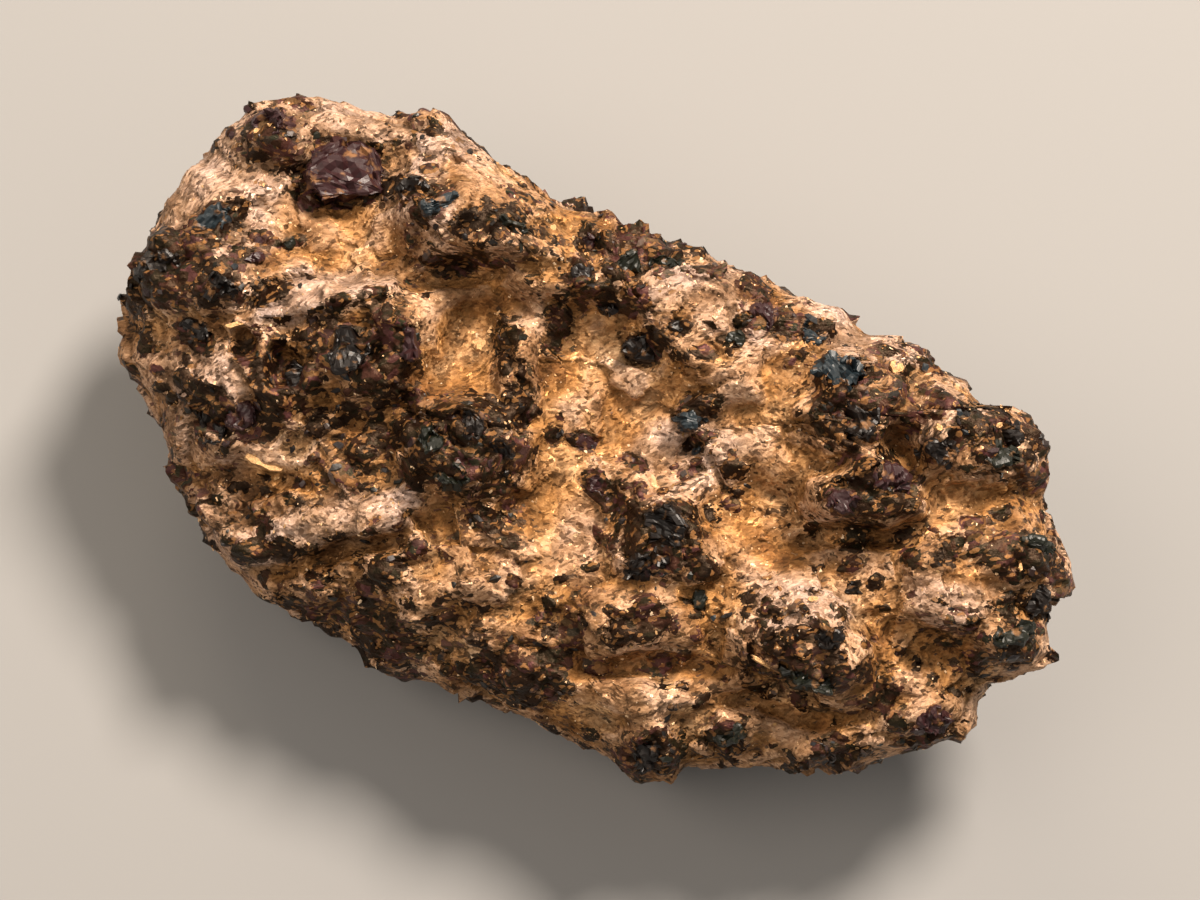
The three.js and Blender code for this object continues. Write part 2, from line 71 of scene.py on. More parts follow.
# The main forms of the broad face: x, y, half length, half width, turn in degrees, height.
# A height below zero is a hollow, a groove or a pit.
FORMS = (
    (-13.3, 12.4, 1.5, 1.3, 0, 1.1),  # knob on the top left corner
    (-11.0, 12.6, 4.2, 1.1, 8, 0.5),  # pale ledge along the top
    (-10.3, 10.8, 2.5, 1.9, -15, -1.5),  # socket of the standing crystal
    (-16.8, 6.7, 2.8, 1.6, -10, 1.6),  # dark lump at the left
    (-15.6, 8.6, 1.5, 0.8, 35, 0.7),  # blue-black crest
    (-10.8, 8.2, 3.4, 1.5, -8, -0.9),  # ochre hollow under the socket
    (-10.9, 5.8, 3.4, 0.6, 15, 0.6),  # pale ridge
    (-9.3, 3.8, 2.5, 2.3, 40, 1.4),  # big dark lump
    (-13.8, 2.2, 2.3, 2.4, 20, 0.9),  # broken block at the left
    (-12.3, 3.1, 0.8, 0.9, 0, -1.3),  # black pit in the block
    (-14.1, 3.9, 0.6, 0.6, 0, -1.0),  # small pit beside it
    (-15.5, 0.7, 0.9, 1.2, 0, 0.8),  # black knob under the block
    (-13.6, -1.4, 1.9, 0.5, -15, -0.8),  # undercut below the golden plate
    (-10.3, -3.3, 3.6, 0.8, 17, 0.7),  # cream ledge
    (-11.0, -4.6, 3.4, 0.5, 15, -0.7),  # groove below the ledge
    (-4.2, 8.6, 2.9, 1.6, -8, 1.7),  # mottled rib
    (-4.8, 6.9, 2.6, 0.5, 4, -0.8),  # shadowed slot below the rib
    (-5.1, 4.2, 2.5, 1.6, 50, -0.9),  # bright hollow
    (-3.3, 3.4, 0.7, 1.9, 12, 0.5),  # dark wall right of the hollow
    (-5.2, -0.4, 2.3, 1.8, -25, 1.6),  # charcoal mass
    (-1.8, 6.8, 2.4, 1.0, -15, 0.8),  # grain-covered brow
    (0.4, 2.5, 2.6, 2.8, 0, -1.1),  # central basin, upper part
    (2.6, 0.4, 3.0, 1.8, 10, -0.8),  # central basin, right part
    (-1.4, -3.0, 2.0, 2.9, 0, -0.9),  # central basin, lower part
    (1.7, 6.7, 1.6, 1.0, -40, 0.9),  # dark hump on the top edge
    (4.6, 5.4, 2.3, 1.2, -25, 0.5),  # pale shoulder
    (5.4, 3.2, 2.2, 1.2, -30, 0.6),  # flake-covered rise
    (8.0, 2.6, 1.4, 0.8, -30, -0.5),  # dip behind the wedge
    (10.2, 1.1, 1.7, 2.1, 20, 1.7),  # dark wedge
    (12.5, 0.6, 0.9, 1.9, -8, -1.1),  # tan gully right of the wedge
    (10.9, -2.1, 2.3, 1.2, 6, 1.5),  # dark lump below the wedge
    (10.6, -3.9, 2.4, 0.6, 8, -0.9),  # shadow gap under that lump
    (14.4, 0.3, 2.3, 1.5, -25, 1.3),  # big lump at the right shoulder
    (17.0, -0.4, 1.5, 1.5, 0, 1.0),  # rounded end lump
    (15.5, -2.1, 2.9, 0.7, 0, -0.6),  # groove under the shoulder
    (14.2, -4.6, 2.0, 1.3, 10, 0.8),  # speckled rise
    (17.4, -4.6, 1.4, 1.5, 0, 0.8),  # dark end lump
    (14.4, -6.5, 1.9, 0.9, 5, 0.7),  # pale rise
    (16.6, -7.9, 1.5, 0.9, 15, 0.6),  # low lump near the corner
    (12.6, -8.2, 2.3, 0.8, -12, -0.7),  # hollow beside the nose
    (6.6, -3.0, 2.6, 1.5, -30, -0.9),  # tan slope
    (2.6, -4.2, 1.7, 1.6, -40, 1.0),  # mound of the big round crystal
    (8.2, -8.1, 2.6, 1.9, -28, 1.9),  # nose
    (8.2, -10.7, 2.7, 0.7, -8, -1.2),  # shadow gap under the nose
    (1.8, -7.2, 2.7, 1.2, -3, 0.9),  # speckled brow
    (1.8, -9.1, 3.5, 0.6, -2, -0.7),  # long groove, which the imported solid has 0.4 mm deeper
    (1.2, -10.5, 2.8, 0.8, -6, 0.7),  # cream swell under the groove
    (2.3, -12.7, 1.2, 1.1, 0, 1.2),  # dark knob on the bottom edge
    (5.4, -11.8, 1.2, 0.8, 10, 0.9),  # knob in the lower hollow
    (9.0, -12.8, 1.0, 0.8, 0, 0.8),  # small knob on the bottom edge
    (13.4, -11.3, 1.7, 0.9, 15, 1.0),  # lump at the bottom right
    (-3.8, -5.2, 2.7, 1.5, -10, 0.7),  # speckled flank
    (-8.4, -5.9, 3.0, 1.0, -12, 0.6),  # low flank lump
    (-3.0, -8.7, 2.3, 1.0, -20, 0.7),  # lower flank lump
    (-15.2, -3.4, 1.2, 1.1, 0, 0.6),  # red-brown corner
)

# Broken faces of the sides and the underside: direction from above in the outline's own axes in degrees,
# how far the face looks down in degrees, and the share of the outline's reach that it passes at.
BREAKS = (
    (-152, 20, 0.99), (-118, 30, 1.0), (-100, 46, 0.93), (-76, 24, 1.01), (-48, 34, 0.98), (-22, 20, 1.0),
    (8, 30, 0.97), (30, 18, 1.02), (52, 12, 1.01), (74, 4, 1.02), (96, 14, 1.01), (122, 8, 1.01),
    (150, 28, 0.97), (176, 24, 0.99), (-165, 54, 0.86), (-34, 56, 0.84), (24, 52, 0.93), (138, 50, 0.92),
)


class Tint(Enum):
    """The hues that chrysoberyl shows in this stone, as places on the crystals' colour ramp."""

    BLACK = 0.1
    GREEN = 0.35
    PURPLE = 0.6
    BLUE = 0.85


# The larger crystals on the broad face: x, y, half length, half width, half height, turn in degrees, tint.
CRYSTALS = (
    (-10.1, 11.0, 2.3, 1.6, 1.9, -10, Tint.PURPLE),  # standing crystal in its socket
    (-13.2, 12.9, 0.9, 0.7, 0.7, 40, Tint.PURPLE),
    (-15.5, 8.6, 1.3, 0.6, 0.7, 38, Tint.BLUE),
    (-17.8, 7.1, 1.1, 0.8, 0.7, 10, Tint.BLACK),
    (-14.8, 6.0, 1.0, 0.7, 0.8, -20, Tint.BLACK),
    (-16.0, 4.4, 0.7, 0.5, 0.5, -30, Tint.BLACK),
    (-7.2, 10.0, 0.8, 0.55, 0.6, -10, Tint.BLACK),
    (-5.6, 9.4, 1.6, 0.4, 0.5, 14, Tint.BLUE),
    (-3.2, 8.2, 0.8, 0.6, 0.6, -30, Tint.GREEN),
    (-0.3, 7.9, 0.4, 0.55, 0.5, 0, Tint.PURPLE),
    (-0.5, 6.6, 0.5, 0.5, 0.5, 30, Tint.BLACK),
    (0.3, 5.4, 0.7, 0.4, 0.5, -30, Tint.BLACK),
    (1.2, 6.9, 0.8, 0.5, 0.5, 42, Tint.GREEN),
    (2.7, 7.0, 0.9, 0.5, 0.5, -15, Tint.GREEN),
    (2.0, 3.7, 1.0, 0.75, 0.8, -10, Tint.BLACK),
    (3.4, 4.6, 0.6, 0.4, 0.45, 20, Tint.BLACK),
    (6.7, 4.8, 0.8, 0.7, 0.75, 0, Tint.PURPLE),
    (5.6, 4.0, 0.5, 0.45, 0.45, 40, Tint.GREEN),
    (8.7, 4.4, 1.1, 0.45, 0.5, -35, Tint.BLUE),
    (9.8, 2.6, 1.0, 0.75, 0.8, -12, Tint.BLUE),
    (10.4, 0.8, 1.2, 1.1, 0.9, 25, Tint.BLACK),
    (4.2, 1.1, 1.1, 0.5, 0.6, 36, Tint.BLUE),
    (-0.4, -0.1, 0.55, 0.5, 0.5, -20, Tint.PURPLE),
    (0.3, -1.9, 1.0, 0.5, 0.6, -36, Tint.PURPLE),
    (2.8, -3.5, 1.15, 1.0, 1.0, 0, Tint.BLACK),
    (2.2, -4.9, 1.1, 0.7, 0.7, 15, Tint.BLACK),
    (11.7, -1.5, 0.9, 0.65, 0.7, -10, Tint.PURPLE),
    (9.7, -2.4, 0.8, 0.5, 0.6, 0, Tint.PURPLE),
    (4.0, -6.4, 0.6, 0.4, 0.4, 30, Tint.GREEN),
    (-7.5, 3.8, 0.6, 1.0, 0.8, 8, Tint.PURPLE),
    (-9.6, 3.6, 1.1, 0.9, 0.8, 30, Tint.BLACK),
    (-11.8, 2.5, 0.8, 0.6, 0.6, -40, Tint.BLACK),
    (-15.5, 0.5, 0.8, 1.0, 0.7, -15, Tint.BLACK),
    (-14.1, 0.9, 0.9, 0.6, 0.6, -10, Tint.PURPLE),
    (-6.5, 0.0, 0.8, 0.7, 0.7, 0, Tint.GREEN),
    (-4.9, 0.6, 0.8, 0.7, 0.7, 40, Tint.BLACK),
    (-3.8, -0.4, 0.7, 0.8, 0.7, 10, Tint.BLACK),
    (-5.6, -1.5, 0.8, 0.6, 0.6, -20, Tint.GREEN),
    (2.3, -12.6, 1.0, 0.9, 0.8, 0, Tint.BLACK),
    (5.3, -11.7, 0.7, 0.5, 0.5, 20, Tint.GREEN),
    (9.1, -12.7, 0.7, 0.6, 0.5, 0, Tint.BLACK),
    (14.0, -11.7, 1.1, 0.5, 0.6, 16, Tint.PURPLE),
    (8.6, -9.4, 1.3, 0.7, 0.8, -18, Tint.GREEN),
    (9.2, -7.8, 0.8, 0.6, 0.7, 20, Tint.BLACK),
    (10.6, -6.0, 0.8, 0.5, 0.5, 0, Tint.BLACK),
    (17.8, -4.4, 0.9, 0.6, 0.6, 5, Tint.GREEN),
    (18.2, -6.6, 0.6, 0.9, 0.6, 0, Tint.BLACK),
    (16.6, -7.8, 1.0, 0.5, 0.5, 18, Tint.GREEN),
    (16.2, -0.6, 0.8, 0.6, 0.6, 0, Tint.GREEN),
    (17.5, 0.1, 0.7, 0.9, 0.6, -20, Tint.BLACK),
    (13.8, -0.4, 0.9, 0.6, 0.6, -20, Tint.BLACK),
)

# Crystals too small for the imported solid, laid out as the larger ones are.
SMALL_CRYSTALS = (
    (-13.7, 7.3, 0.5, 0.3, 0.45, 15, Tint.PURPLE),
    (-13.5, 7.9, 0.25, 0.4, 0.45, 10, Tint.PURPLE),
    (-12.3, 7.9, 0.35, 0.3, 0.4, 40, Tint.GREEN),
    (6.7, 5.0, 0.45, 0.45, 0.6, 10, Tint.PURPLE),
    (-1.5, 0.3, 0.3, 0.4, 0.4, 20, Tint.BLACK),
    (-0.3, -0.2, 0.4, 0.35, 0.45, -20, Tint.BLACK),
    (1.6, -0.9, 0.5, 0.25, 0.35, -25, Tint.PURPLE),
    (4.3, -0.4, 0.6, 0.25, 0.4, 25, Tint.BLUE),
    (5.9, 3.4, 0.45, 0.2, 0.35, 35, Tint.PURPLE),
    (3.0, -10.6, 0.35, 0.3, 0.4, 0, Tint.BLACK),
)

# Mica plates large enough to flash alone: x, y, half length, half width, turn in degrees.
PLATES = (
    (-13.2, -0.9, 1.0, 0.36, -15),
    (-12.6, -1.1, 0.35, 0.2, -10),
    (-14.4, 4.6, 0.6, 0.15, 16),
    (12.1, 2.9, 0.35, 0.4, 10),
    (12.5, 3.4, 0.2, 0.2, 40),
    (13.6, 0.5, 0.18, 0.2, 0),
    (16.2, 0.6, 0.2, 0.16, 20),
    (11.7, -1.3, 0.35, 0.2, 0),
    (-4.5, 8.2, 0.15, 0.5, 10),
    (-1.7, 8.5, 0.18, 0.22, 0),
    (-13.6, 12.4, 0.2, 0.14, 30),
    (-4.6, 3.8, 0.2, 0.4, -30),
    (-4.2, 4.4, 0.16, 0.3, -40),
    (-2.4, -11.4, 0.3, 0.16, -20),
    (8.6, -6.3, 0.3, 0.18, 10),
    (8.2, -8.4, 0.15, 0.26, 0),
    (6.6, -8.8, 0.6, 0.1, -30),
    (17.0, -5.1, 0.12, 0.2, 0),
    (-8.6, -6.0, 0.3, 0.1, 0),
    (3.0, -9.9, 0.3, 0.1, 10),
    (-15.2, 8.9, 0.2, 0.08, 40),
)

# Where the face is dark crystal or bare matrix, laid on in this order over an even mixture:
# x, y, half length, half width, turn in degrees, share of dark crystal.
PATCHES = (
    (-10.8, 8.7, 2.6, 1.2, -10, 0.0), (-16.2, 10.0, 1.6, 1.1, 45, 0.1), (-9.2, 12.8, 2.4, 0.8, 0, 0.12),
    (-5.2, 4.4, 1.9, 2.6, -30, 0.0), (0.2, 2.6, 1.9, 2.5, 0, 0.0), (-1.4, -2.6, 1.3, 2.4, 0, 0.05),
    (2.6, 0.8, 1.9, 1.5, 0, 0.05), (-10.4, -3.0, 3.4, 0.5, 17, 0.0), (-13.2, -0.9, 1.0, 0.5, -15, 0.0),
    (-14.6, 2.2, 0.7, 0.6, 0, 0.1), (-11.0, 5.8, 3.2, 0.35, 15, 0.0), (14.8, -2.2, 1.8, 0.6, 0, 0.1),
    (12.3, 0.8, 0.7, 1.5, 0, 0.1), (14.6, -5.9, 1.4, 0.6, 0, 0.1), (6.6, -4.4, 2.2, 1.0, -20, 0.15),
    (1.0, -10.4, 2.4, 0.7, -5, 0.0), (7.0, -11.6, 1.3, 0.5, 0, 0.15), (14.4, -11.0, 1.3, 0.5, 0, 0.15),
    (10.2, 4.8, 1.0, 0.4, -20, 0.0), (4.8, 5.6, 2.4, 0.8, -25, 0.2), (6.6, 1.6, 1.2, 1.8, 0, 0.2),
    (-5.0, 10.6, 1.6, 0.6, -40, 0.15), (8.0, -1.2, 1.2, 1.2, 0, 0.25),
    (-9.9, 2.1, 2.5, 1.9, 20, 0.72), (-8.4, -1.2, 2.8, 1.0, 0, 0.74),
    (-13.3, 12.5, 1.2, 1.1, 0, 0.85), (-10.2, 11.0, 1.8, 1.3, -10, 1.0), (-11.6, 10.0, 0.9, 0.5, -45, 1.0),
    (-10.8, 9.5, 0.7, 0.3, 0, 1.0), (-15.2, 8.7, 1.4, 0.8, 38, 1.0), (-13.3, 8.0, 0.5, 0.4, 0, 0.9),
    (-13.8, 7.3, 0.6, 0.4, 0, 0.9), (-12.0, 8.0, 0.4, 0.3, 0, 0.9), (-16.6, 6.7, 2.8, 1.3, -12, 0.92),
    (-18.4, 5.6, 0.9, 1.2, 0, 0.8), (-10.0, 4.0, 1.8, 1.3, 10, 0.76), (-8.4, 3.6, 1.3, 2.0, 15, 0.82),
    (-9.0, 5.2, 1.8, 0.8, 20, 0.7), (-16.0, 4.2, 0.8, 0.5, -30, 1.0), (-14.1, 3.6, 0.5, 0.4, 0, 1.0),
    (-12.8, 2.6, 0.9, 1.0, -30, 1.0), (-15.6, 1.2, 0.7, 1.2, -10, 1.0), (-13.8, 0.8, 1.4, 0.8, 0, 0.85),
    (-17.2, -0.8, 0.8, 1.6, -25, 0.65), (-15.0, -3.2, 1.2, 1.6, -20, 0.65), (-13.4, -3.4, 0.5, 0.3, 0, 1.0),
    (-13.5, -4.4, 0.6, 0.5, 0, 1.0), (-12.5, -4.4, 0.5, 0.6, 0, 1.0), (-9.6, -5.1, 0.4, 0.3, 0, 1.0),
    (-8.4, -5.1, 0.4, 0.4, 0, 1.0), (-5.2, -0.2, 2.3, 1.9, -20, 1.0), (-7.2, 0.2, 0.8, 1.6, 10, 0.85),
    (-2.6, 8.0, 1.0, 0.8, -20, 0.85), (-0.2, 8.0, 0.5, 0.8, 0, 1.0), (0.6, 7.7, 0.5, 0.4, 0, 1.0),
    (-0.5, 6.2, 0.5, 0.9, 0, 1.0), (0.6, 5.5, 0.7, 0.4, -20, 1.0), (1.2, 6.8, 0.9, 0.6, 30, 1.0),
    (2.4, 7.4, 1.3, 0.8, -20, 0.9), (1.8, 5.6, 0.5, 0.5, 0, 0.9), (-1.4, 4.4, 0.7, 1.0, 10, 0.8),
    (-3.5, 3.6, 0.8, 1.6, 15, 0.72), (-3.0, 1.6, 0.7, 1.0, 0, 0.8), (-4.4, 8.4, 2.6, 1.2, -10, 0.62),
    (-5.8, 7.1, 1.3, 0.4, 0, 1.0), (-7.2, 10.2, 0.7, 0.5, 0, 0.9), (-6.4, 9.8, 0.5, 0.4, 0, 0.8),
    (-8.8, 12.6, 0.3, 0.2, 0, 0.8), (-8.3, 12.1, 0.3, 0.2, 0, 0.8), (-6.6, 12.2, 1.4, 0.6, -30, 0.55),
    (2.0, 3.7, 1.0, 0.8, 0, 1.0), (3.5, 4.6, 0.5, 0.4, 0, 1.0), (6.6, 4.9, 0.75, 0.75, 0, 1.0),
    (7.6, 4.4, 0.5, 0.4, 0, 0.9), (4.6, 6.7, 0.6, 0.35, -15, 0.8), (7.8, 5.5, 0.5, 0.3, 0, 0.8),
    (8.5, 4.3, 0.9, 0.4, -25, 0.9), (5.6, 4.0, 0.5, 0.4, 0, 0.9), (4.4, 3.6, 0.5, 0.4, 0, 0.9),
    (-1.6, 0.0, 0.35, 0.4, 0, 1.0), (-0.4, -0.1, 0.6, 0.45, 0, 1.0), (1.6, -0.9, 0.5, 0.3, -20, 0.9),
    (0.2, -2.0, 1.0, 0.5, -36, 1.0), (1.2, -2.8, 0.8, 0.5, -40, 1.0), (2.8, -4.0, 1.5, 1.4, 0, 1.0),
    (4.2, 1.2, 1.0, 0.5, 35, 0.95), (3.8, -1.2, 0.6, 0.25, 20, 0.9), (4.0, -0.2, 0.7, 0.25, 30, 0.9),
    (9.8, 1.4, 1.5, 1.7, 0, 0.92), (11.0, -2.0, 2.1, 1.2, 0, 0.92), (13.4, 0.8, 1.9, 1.2, -20, 0.72),
    (15.8, 0.1, 1.6, 1.3, -30, 0.85), (17.6, -0.8, 1.0, 1.6, 0, 0.75), (14.0, -4.6, 0.7, 0.6, 0, 0.95),
    (17.6, -4.6, 1.5, 0.9, 0, 0.85), (18.7, -6.4, 0.6, 1.5, 0, 0.85), (14.6, -7.6, 1.2, 0.7, 0, 0.8),
    (16.6, -8.4, 1.1, 0.6, 10, 0.85), (15.6, -9.0, 0.8, 0.5, 0, 0.85), (7.6, -8.4, 2.2, 1.7, -20, 0.75),
    (9.0, -9.2, 1.0, 1.0, 0, 1.0), (4.2, -5.2, 0.8, 0.6, 0, 0.8), (-9.0, -7.6, 3.4, 1.2, -22, 0.75),
    (-4.0, -9.0, 3.0, 1.2, -25, 0.72), (-4.2, -9.2, 1.0, 0.6, 0, 1.0), (-1.8, -8.8, 1.0, 0.6, 0, 1.0),
    (2.2, -12.6, 1.3, 1.0, 0, 0.95), (5.2, -11.8, 1.0, 0.7, 0, 0.9), (9.4, -12.6, 0.8, 0.6, 0, 0.9),
    (8.0, -13.2, 0.7, 0.4, 0, 0.9), (13.4, -12.0, 1.3, 0.7, 10, 0.85), (-4.4, -3.0, 1.8, 1.6, 0, 0.6),
    (-4.6, -3.2, 0.8, 0.6, 0, 0.85), (-0.2, -7.4, 2.2, 1.0, -10, 0.62), (12.0, 3.0, 1.4, 0.7, -30, 0.7),
)
MIXTURE = 0.42  # share of dark crystal where no patch lies

# Where the matrix of the face is pale and grey rather than ochre, laid out as the patches are: x, y,
# half length, half width, turn in degrees, how grey.
WEATHERED = (
    (-15.5, 10.0, 3.0, 3.4, 0, 1.0),
    (-8.6, 12.4, 4.0, 1.0, -10, 1.0),
    (-7.2, 9.6, 1.6, 1.6, 0, 0.8),
    (-11.0, 5.9, 3.4, 0.9, 15, 1.0),
    (-15.5, 2.0, 2.2, 2.4, 0, 0.7),
    (-10.2, -3.2, 3.8, 1.0, 17, 0.7),
    (4.6, 5.6, 3.0, 1.2, -28, 0.8),
    (10.5, 4.4, 2.6, 0.8, -25, 0.8),
    (3.4, -0.6, 1.9, 1.5, 20, 0.7),
    (-0.6, -4.2, 1.2, 1.6, 0, 0.7),
    (14.0, 1.0, 1.6, 1.2, 0, 0.6),
    (14.4, -6.3, 1.8, 1.0, 0, 0.6),
    (7.4, -6.0, 2.4, 1.1, -25, 0.7),
    (-14.6, -2.6, 1.6, 2.0, 0, 0.6),
)


# Blocks of crystal bedded in the stone, in cells about one block across.
BLOCK_SQUARENESS = 3  # 2 would make them round, and a high number makes them square-cornered
BLOCK_SMALLEST = 0.36  # half size
BLOCK_SPREAD = 0.36  # how much more the largest has
BLOCK_SLIMNESS = 0.8  # how much narrower the slimmest is than it is long

# A number added to the places given to one of the patterns below only picks another part of that pattern.


def grid_value(i: np.ndarray, j: np.ndarray, k: np.ndarray) -> np.ndarray:
    """Returns a fixed number from 0 to 1 for each point of a grid."""
    s = np.sin(i * 127.1 + j * 311.7 + k * 74.7) * 43758.5453
    return s - np.floor(s)


def smooth_noise(points: np.ndarray) -> np.ndarray:
    """Smooth noise with bumps about one unit across.

    Args:
        points: places, one row each.

    Returns:
        Values from -1 to 1.
    """
    cell = np.floor(points)
    part = points - cell
    part = part * part * (3 - 2 * part)
    total = np.zeros(len(points))
    for corner in range(8):
        step = np.array([corner & 1, (corner >> 1) & 1, corner >> 2])
        weight = np.prod(np.where(step, part, 1 - part), axis=1)
        total += weight * grid_value(*(cell + step).T)
    return 2 * total - 1


def near_cells(points: np.ndarray) -> Iterator[tuple[np.ndarray, ...]]:
    """Goes through the 27 cells round each point, each with one seed at random in it.

    Args:
        points: places, one row each.

    Yields:
        The cell's three numbers, then the points as they lie from its seed.
    """
    base = np.floor(points)
    for n in range(27):
        a, b, c = (base + np.array([n % 3 - 1, n // 3 % 3 - 1, n // 9 - 1])).T
        seeds = [a + grid_value(a, b, c), b + grid_value(b, c, a), c + grid_value(c, a, b)]
        yield a, b, c, points - np.stack(seeds, axis=1)


def crags(points: np.ndarray) -> np.ndarray:
    """Flat-faced relief, where each cell about one unit across has its own height and slope.

    Args:
        points: places, one row each.

    Returns:
        Values from about -1 to 1.
    """
    nearest = np.full(len(points), np.inf)
    value = np.zeros(len(points))
    for a, b, c, offset in near_cells(points):
        distance = np.linalg.norm(offset, axis=1)
        slope = [grid_value(a + 9, b, c), grid_value(a, b + 9, c), grid_value(a, b, c + 9)]
        lean = ((np.stack(slope, axis=1) - 0.5) * offset).sum(axis=1)
        face = grid_value(a + 5, b + 5, c + 5) - 0.5 + 1.6 * lean
        closer = distance < nearest
        nearest = np.where(closer, distance, nearest)
        value = np.where(closer, face, value)
    return 1.2 * value


def bedded_blocks(points: np.ndarray, share: np.ndarray) -> tuple[np.ndarray, np.ndarray, np.ndarray]:
    """Blocky crystals bedded in the stone, one in some of the cells about one unit across.

    Args:
        points: places, one row each.
        share: share of the cells that hold a crystal, for each place.

    Returns:
        How deep each place lies in a crystal, from -1 well outside to 1 at the middle, how far that
        crystal's end slopes up there, and the crystal's own tone from 0 to 1.
    """
    inside = np.full(len(points), -1.0)
    end = np.zeros(len(points))
    tone = np.zeros(len(points))
    for a, b, c, offset in near_cells(points):
        dx, dy, dz = offset.T
        turn = math.pi * grid_value(a + 3, b + 7, c + 1)
        lean_x, lean_y = grid_value(a + 9, b, c) - 0.5, grid_value(a, b + 9, c) - 0.5
        long = dx * np.cos(turn) + dy * np.sin(turn)
        slim = 1.0 + BLOCK_SLIMNESS * grid_value(a, b + 2, c + 5)
        wide = (dy * np.cos(turn) - dx * np.sin(turn)) * slim
        tall = dz + lean_x * dx + lean_y * dy
        size = sum(np.abs(way) ** BLOCK_SQUARENESS for way in (long, wide, tall)) ** (1 / BLOCK_SQUARENESS)
        depth = 1 - size / (BLOCK_SMALLEST + BLOCK_SPREAD * grid_value(a + 1, b + 8, c + 4))
        depth = np.where(grid_value(a + 2, b + 4, c + 6) < share, depth, -1.0)
        deeper = depth > inside
        inside = np.where(deeper, depth, inside)
        end = np.where(deeper, lean_x * long + lean_y * wide, end)
        tone = np.where(deeper, grid_value(a + 6, b + 1, c + 3), tone)
    return inside, end, tone


def mound(x: np.ndarray, y: np.ndarray, form: tuple) -> np.ndarray:
    """1 inside an ellipse, 0 outside it, with a smooth slope that is half way at the stated half sizes.

    Args:
        x: places along the face.
        y: places up the face.
        form: the ellipse's middle, half length, half width and turn in degrees, then anything.

    Returns:
        A weight for each place.
    """
    turn = math.radians(form[4])
    dx, dy = x - form[0], y - form[1]
    along = (dx * math.cos(turn) + dy * math.sin(turn)) / form[2]
    across = (dy * math.cos(turn) - dx * math.sin(turn)) / form[3]
    t = np.clip(np.hypot(along, across) - 0.5, 0, 1)
    return 1 - t * t * (3 - 2 * t)


def linear(hex_colour: str) -> tuple[float, float, float, float]:
    """Turns an sRGB hex colour such as #8A7355 into linear red, green, blue and alpha."""
    parts = [int(hex_colour[n : n + 2], 16) / 255 for n in (1, 3, 5)]
    red, green, blue = ((p / 12.92 if p <= 0.04045 else ((p + 0.055) / 1.055) ** 2.4) for p in parts)
    return red, green, blue, 1.0


def add(tree: bpy.types.NodeTree, kind: str, inputs: dict | None = None, **settings: Any) -> bpy.types.Node:
    """Adds a node with its settings and links.

    Args:
        tree: the tree that gets the node.
        kind: the name of the node's type.
        inputs: a value or another node's output for each input, by name or number.
        settings: the node's own properties.

    Returns:
        The new node.
    """
    node = tree.nodes.new(kind)
    for name, value in settings.items():
        setattr(node, name, value)
    for name, value in (inputs or {}).items():
        if isinstance(value, bpy.types.NodeSocket):
            tree.links.new(value, node.inputs[name])
        else:
            node.inputs[name].default_value = value
    return node


def paint_ramp(node: bpy.types.Node, stops: tuple[tuple[float, str], ...]) -> bpy.types.NodeSocket:
    """Sets a colour ramp's stops.

    Args:
        node: the colour ramp.
        stops: place and sRGB hex colour of each stop, in order.

    Returns:
        The ramp's colour output.
    """
    ramp = node.color_ramp
    while len(ramp.elements) > 1:
        ramp.elements.remove(ramp.elements[-1])
    ramp.elements[0].position, ramp.elements[0].color = stops[0][0], linear(stops[0][1])
    for place, colour in stops[1:]:
        ramp.elements.new(place).color = linear(colour)
    return node.outputs["Color"]


@dataclass(frozen=True)
class Lie:
    """How the stone lies: turned and leaned from the view that faces it, then set down."""

    turn: float = math.radians(27)
    lean: float = math.radians(15)
    middle: tuple[float, float] = (0.43, -1.27)
    rest_height: float = 6.5

    def rotation(self) -> Matrix:
        """The turn and then the lean, from the face's own frame to the one that the stone lies in."""
        return (Matrix.Rotation(self.lean, 3, "X") @ Matrix.Rotation(self.turn, 3, "Z")).copy()

    def shift(self) -> np.ndarray:
        """The move that comes after the turn and lean, in millimetres."""
        return np.array([-self.middle[0], -self.middle[1], self.rest_height])

    def place(self, points: np.ndarray) -> np.ndarray:
        """Sets points of the face's own frame down, in millimetres."""
        return points @ np.array(self.rotation()).T + self.shift()

    def place_metres(self, x: float, y: float, z: float) -> Vector:
        """Sets one point down, in metres."""
        return Vector(self.place(np.array([[x, y, z]]))[0] * MM)

    def move_to(self, x: float, y: float, z: float) -> Matrix:
        """The move into metres of what stands at a point of the face's own frame."""
        set_down = Matrix.Scale(MM, 4) @ Matrix.Translation(Vector(self.shift())) @ self.rotation().to_4x4()
        return set_down @ Matrix.Translation((x, y, z))


